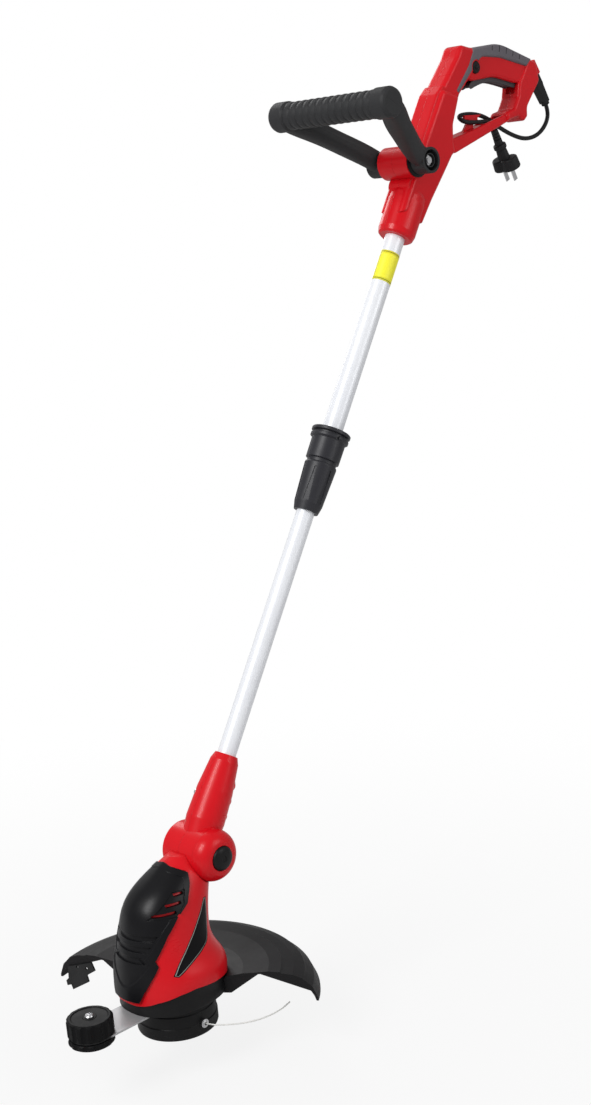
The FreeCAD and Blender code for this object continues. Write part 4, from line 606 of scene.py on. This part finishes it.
def badge_piece(name, material, margin, lift):
    """A leaf laid on the housing: at share s of a row, front (1 - s) + rear s, both moved
    out by the margin, then all of it stretched from its centre by 1 + margin / reach."""
    front = smooth_line(BADGE_FRONT, BADGE_ROWS)
    rear = smooth_line(BADGE_REAR, BADGE_ROWS)
    middle = (front + rear) / 2
    centre = middle.mean(axis=0)
    front = moved_out(front, middle, margin)
    rear = moved_out(rear, middle, margin)
    share = np.linspace(0, 1, BADGE_COLUMNS)[None, :, None]
    flat = front[:, None] * (1 - share) + rear[:, None] * share
    flat = centre + (flat - centre) * (1 + margin / BADGE_REACH)
    points = np.empty((*flat.shape[:2], 3))
    points[..., 0] = BADGE_START
    points[..., 1:] = (HEAD[1:] + flat) * MM
    piece = grid_piece(name, points, material)
    wrap = piece.modifiers.new("lay", "SHRINKWRAP")
    wrap.target = nodes["motor_housing_left"]
    wrap.wrap_method = "PROJECT"
    wrap.use_project_x = True
    wrap.use_project_y = wrap.use_project_z = False
    wrap.use_negative_direction = True
    wrap.use_positive_direction = False
    wrap.offset = lift
    thicken(piece, lift * LAYER_SHARE, -1)
    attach(piece, "head")
    return piece


# a black field, a thin grey line let into it, and the black middle
for piece in (badge_piece("head_badge_border", BADGE, 0.9, 0.00012),
              badge_piece("head_badge_line", BADGE_EDGE, 0.1, 0.0002),
              badge_piece("head_badge", BADGE, -0.6, 0.00028)):
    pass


# ---------------------------------------------------------------- end of the pivot

RING_TURNS = 96
RING_CREASE = 30           # degrees between faces past which an edge is sharp
BULGE_STEPS = 24
# the barrel's rounded end, as x and radius of a quarter of an ellipse
BULGE_FOOT, BULGE_LONG = 24, 18
BULGE_MOUTH, BULGE_HIGH = 15.6, 14.43
# the way back inside it, then the button's profile, as (x, radius)
BULGE_INSIDE = [(42.2, 15.1), (42, 14.5), (34, 14.4), (30.06, 14.4), (30.06, 26.2),
                (28.95, 28.98), (26.2, 30.02)]
BUTTON = [(34.4, 0), (34.4, 13.6), (34.8, 14), (42.8, 14), (43.9, 13.5), (44.9, 12.2),
          (45.8, 10), (46.4, 7), (46.7, 3.6), (46.2, 3.2), (45.6, 2.6), (45.4, 0)]


def pivot_ring(name, profile, material, rides):
    """A closed surface of revolution about the pivot: the point at turn a of the profile's
    (x, r) is (x, r cos a, r sin a) from the pivot. The profile's ends meet, or both lie on
    the axis."""
    profile = np.array(profile, float)
    turn = np.linspace(0, 2 * np.pi, RING_TURNS, endpoint=False)[:, None]
    points = np.stack(np.broadcast_arrays(
        profile[:, 0], profile[:, 1] * np.cos(turn), profile[:, 1] * np.sin(turn)), -1)
    corner = numbered(*points.shape[:2])
    if profile[0, 1] == 0:
        corner[:, 0], corner[:, -1] = corner[0, 0], corner[0, -1]
    else:
        corner = np.column_stack((corner, corner[:, :1]))
    beside = np.roll(corner, -1, axis=0)
    faces = np.stack((corner[:, :-1], corner[:, 1:], beside[:, 1:], beside[:, :-1]), -1)
    faces = [list(dict.fromkeys(face)) for face in faces.reshape(-1, 4).tolist()]
    used, flat = np.unique(np.concatenate(faces), return_inverse=True)
    ends = np.cumsum([len(face) for face in faces])[:-1]
    faces = [part.tolist() for part in np.split(flat, ends)]
    piece = new_piece(name, (points.reshape(-1, 3)[used] + PIVOT) * MM, faces, material,
                      RING_CREASE)
    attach(piece, rides)
    return piece


def pivot_end():
    """The rounded end of the pivot barrel, and the domed release button in its mouth."""
    outer = [(BULGE_FOOT + BULGE_LONG * math.sin(a), BULGE_MOUTH + BULGE_HIGH * math.cos(a))
             for a in np.radians(np.linspace(0, 90, BULGE_STEPS))]
    end = pivot_ring("pivot_end", outer + BULGE_INSIDE, RED_CRISP, "lower_shaft")
    button = pivot_ring("tilt_button_cap", BUTTON, BLACK, "tilt_button")
    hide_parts("tilt_button")


pivot_end()


# ---------------------------------------------------------------- trigger

# the trigger's side outline in the rear handle's frame, as (back, along)
TRIGGER_LINE = [(109.5, 283), (113.5, 279.5), (110.5, 275.5), (90, 267.8), (71, 259.6),
                (54, 247.4), (43.5, 236.5), (38, 229.8), (35.5, 230.6), (37, 236),
                (43.5, 245.5), (56, 256), (70, 266.6), (88, 275.5), (101, 282)]
TRIGGER_HALF = 6.8         # half its width
TRIGGER_EDGE = 1.6         # radius of its rounded sides
TRIGGER_POINTS = 120
TRIGGER_EDGE_STEPS = 7
TRIGGER_CREASE = 35        # degrees


def slim_trigger():
    """The finger lever, slim under the top bar: its closed outline runs across at x from -h
    to h, and near both sides it shrinks by e (1 - sin a) where x is h - e (1 - cos a)."""
    line, inward = closed_line(TRIGGER_LINE, TRIGGER_POINTS)
    turn = np.radians(np.linspace(0, 90, TRIGGER_EDGE_STEPS))
    shrink = TRIGGER_EDGE * (1 - np.sin(turn))
    across = TRIGGER_HALF - TRIGGER_EDGE * (1 - np.cos(turn))
    shrink = np.concatenate((shrink, shrink[::-1]))[:, None, None]
    across = np.concatenate((-across, across[::-1]))[:, None]
    flat = line[None] + shrink * inward[None]
    y, height = from_handle(flat[..., 0], flat[..., 1])
    points = np.stack((np.broadcast_to(across, y.shape), y, height), -1) * MM
    corner = numbered(*y.shape)
    beside = np.roll(corner, -1, axis=1)
    faces = np.stack((corner[:-1], beside[:-1], beside[1:], corner[1:]), -1)
    sides = [corner[0, ::-1].tolist(), corner[-1].tolist()]
    lever = new_piece("trigger_lever", points, faces.reshape(-1, 4).tolist() + sides, LEVER,
                      TRIGGER_CREASE)
    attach(lever, "trigger")
    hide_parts("trigger")


slim_trigger()


# ---------------------------------------------------------------- label on the upper tube

TUBE_RADIUS = 12.5
LABEL_GAP = 0.12           # between the tube and the label's first layer
LABEL_TURN = (-75, 105)    # degrees round the tube, from its side towards its front
LABEL_SPAN = (-61, -22)    # along the shaft from the foot of the handle's clamp
LABEL_THICKNESS = 0.0001   # metres
LABEL_TURNS, LABEL_ROWS = 40, 12
LABEL_LOOK = {"gloss": (0.35, 0.5), "grain": (900, 0.000006), "radius": 0.0002,
              "specular": 0.4}
LABEL = moulded("label_yellow", (0.98, 0.93, 0.045), (0.96, 0.9, 0.04), (0.98, 0.94, 0.15),
                wear=0.2, **LABEL_LOOK)
LABEL_LINE = moulded("label_line", (0.05, 0.05, 0.045), (0.06, 0.06, 0.055),
                     (0.08, 0.08, 0.07), wear=0, **LABEL_LOOK)


def tube_label(name, material, margin, lift):
    """A layer of the blank label round the upper tube, below the clamp: the point at turn a
    and distance d is the axis at d plus the radius times (cos a) across and (sin a) front."""
    clamp_foot = np.array((0, *from_handle(0, 0)))
    radius = TUBE_RADIUS + LABEL_GAP + lift
    inset = math.degrees(margin / radius)
    turn = np.radians(np.linspace(LABEL_TURN[0] + inset, LABEL_TURN[1] - inset,
                                  LABEL_TURNS))[:, None, None]
    along = np.linspace(LABEL_SPAN[0] + margin, LABEL_SPAN[1] - margin,
                        LABEL_ROWS)[None, :, None]
    ring = radius * (np.cos(turn) * ACROSS + np.sin(turn) * SHAFT_FRONT)
    piece = grid_piece(name, (clamp_foot + ring + along * SHAFT_WAY) * MM, material)
    thicken(piece, LABEL_THICKNESS, 1)
    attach(piece, "handle")


# yellow paper with a thin printed frame
tube_label("tube_label_edge", LABEL, 0, 0)
tube_label("tube_label_frame", LABEL_LINE, 1.6, 0.03)
tube_label("tube_label", LABEL, 2.2, 0.06)
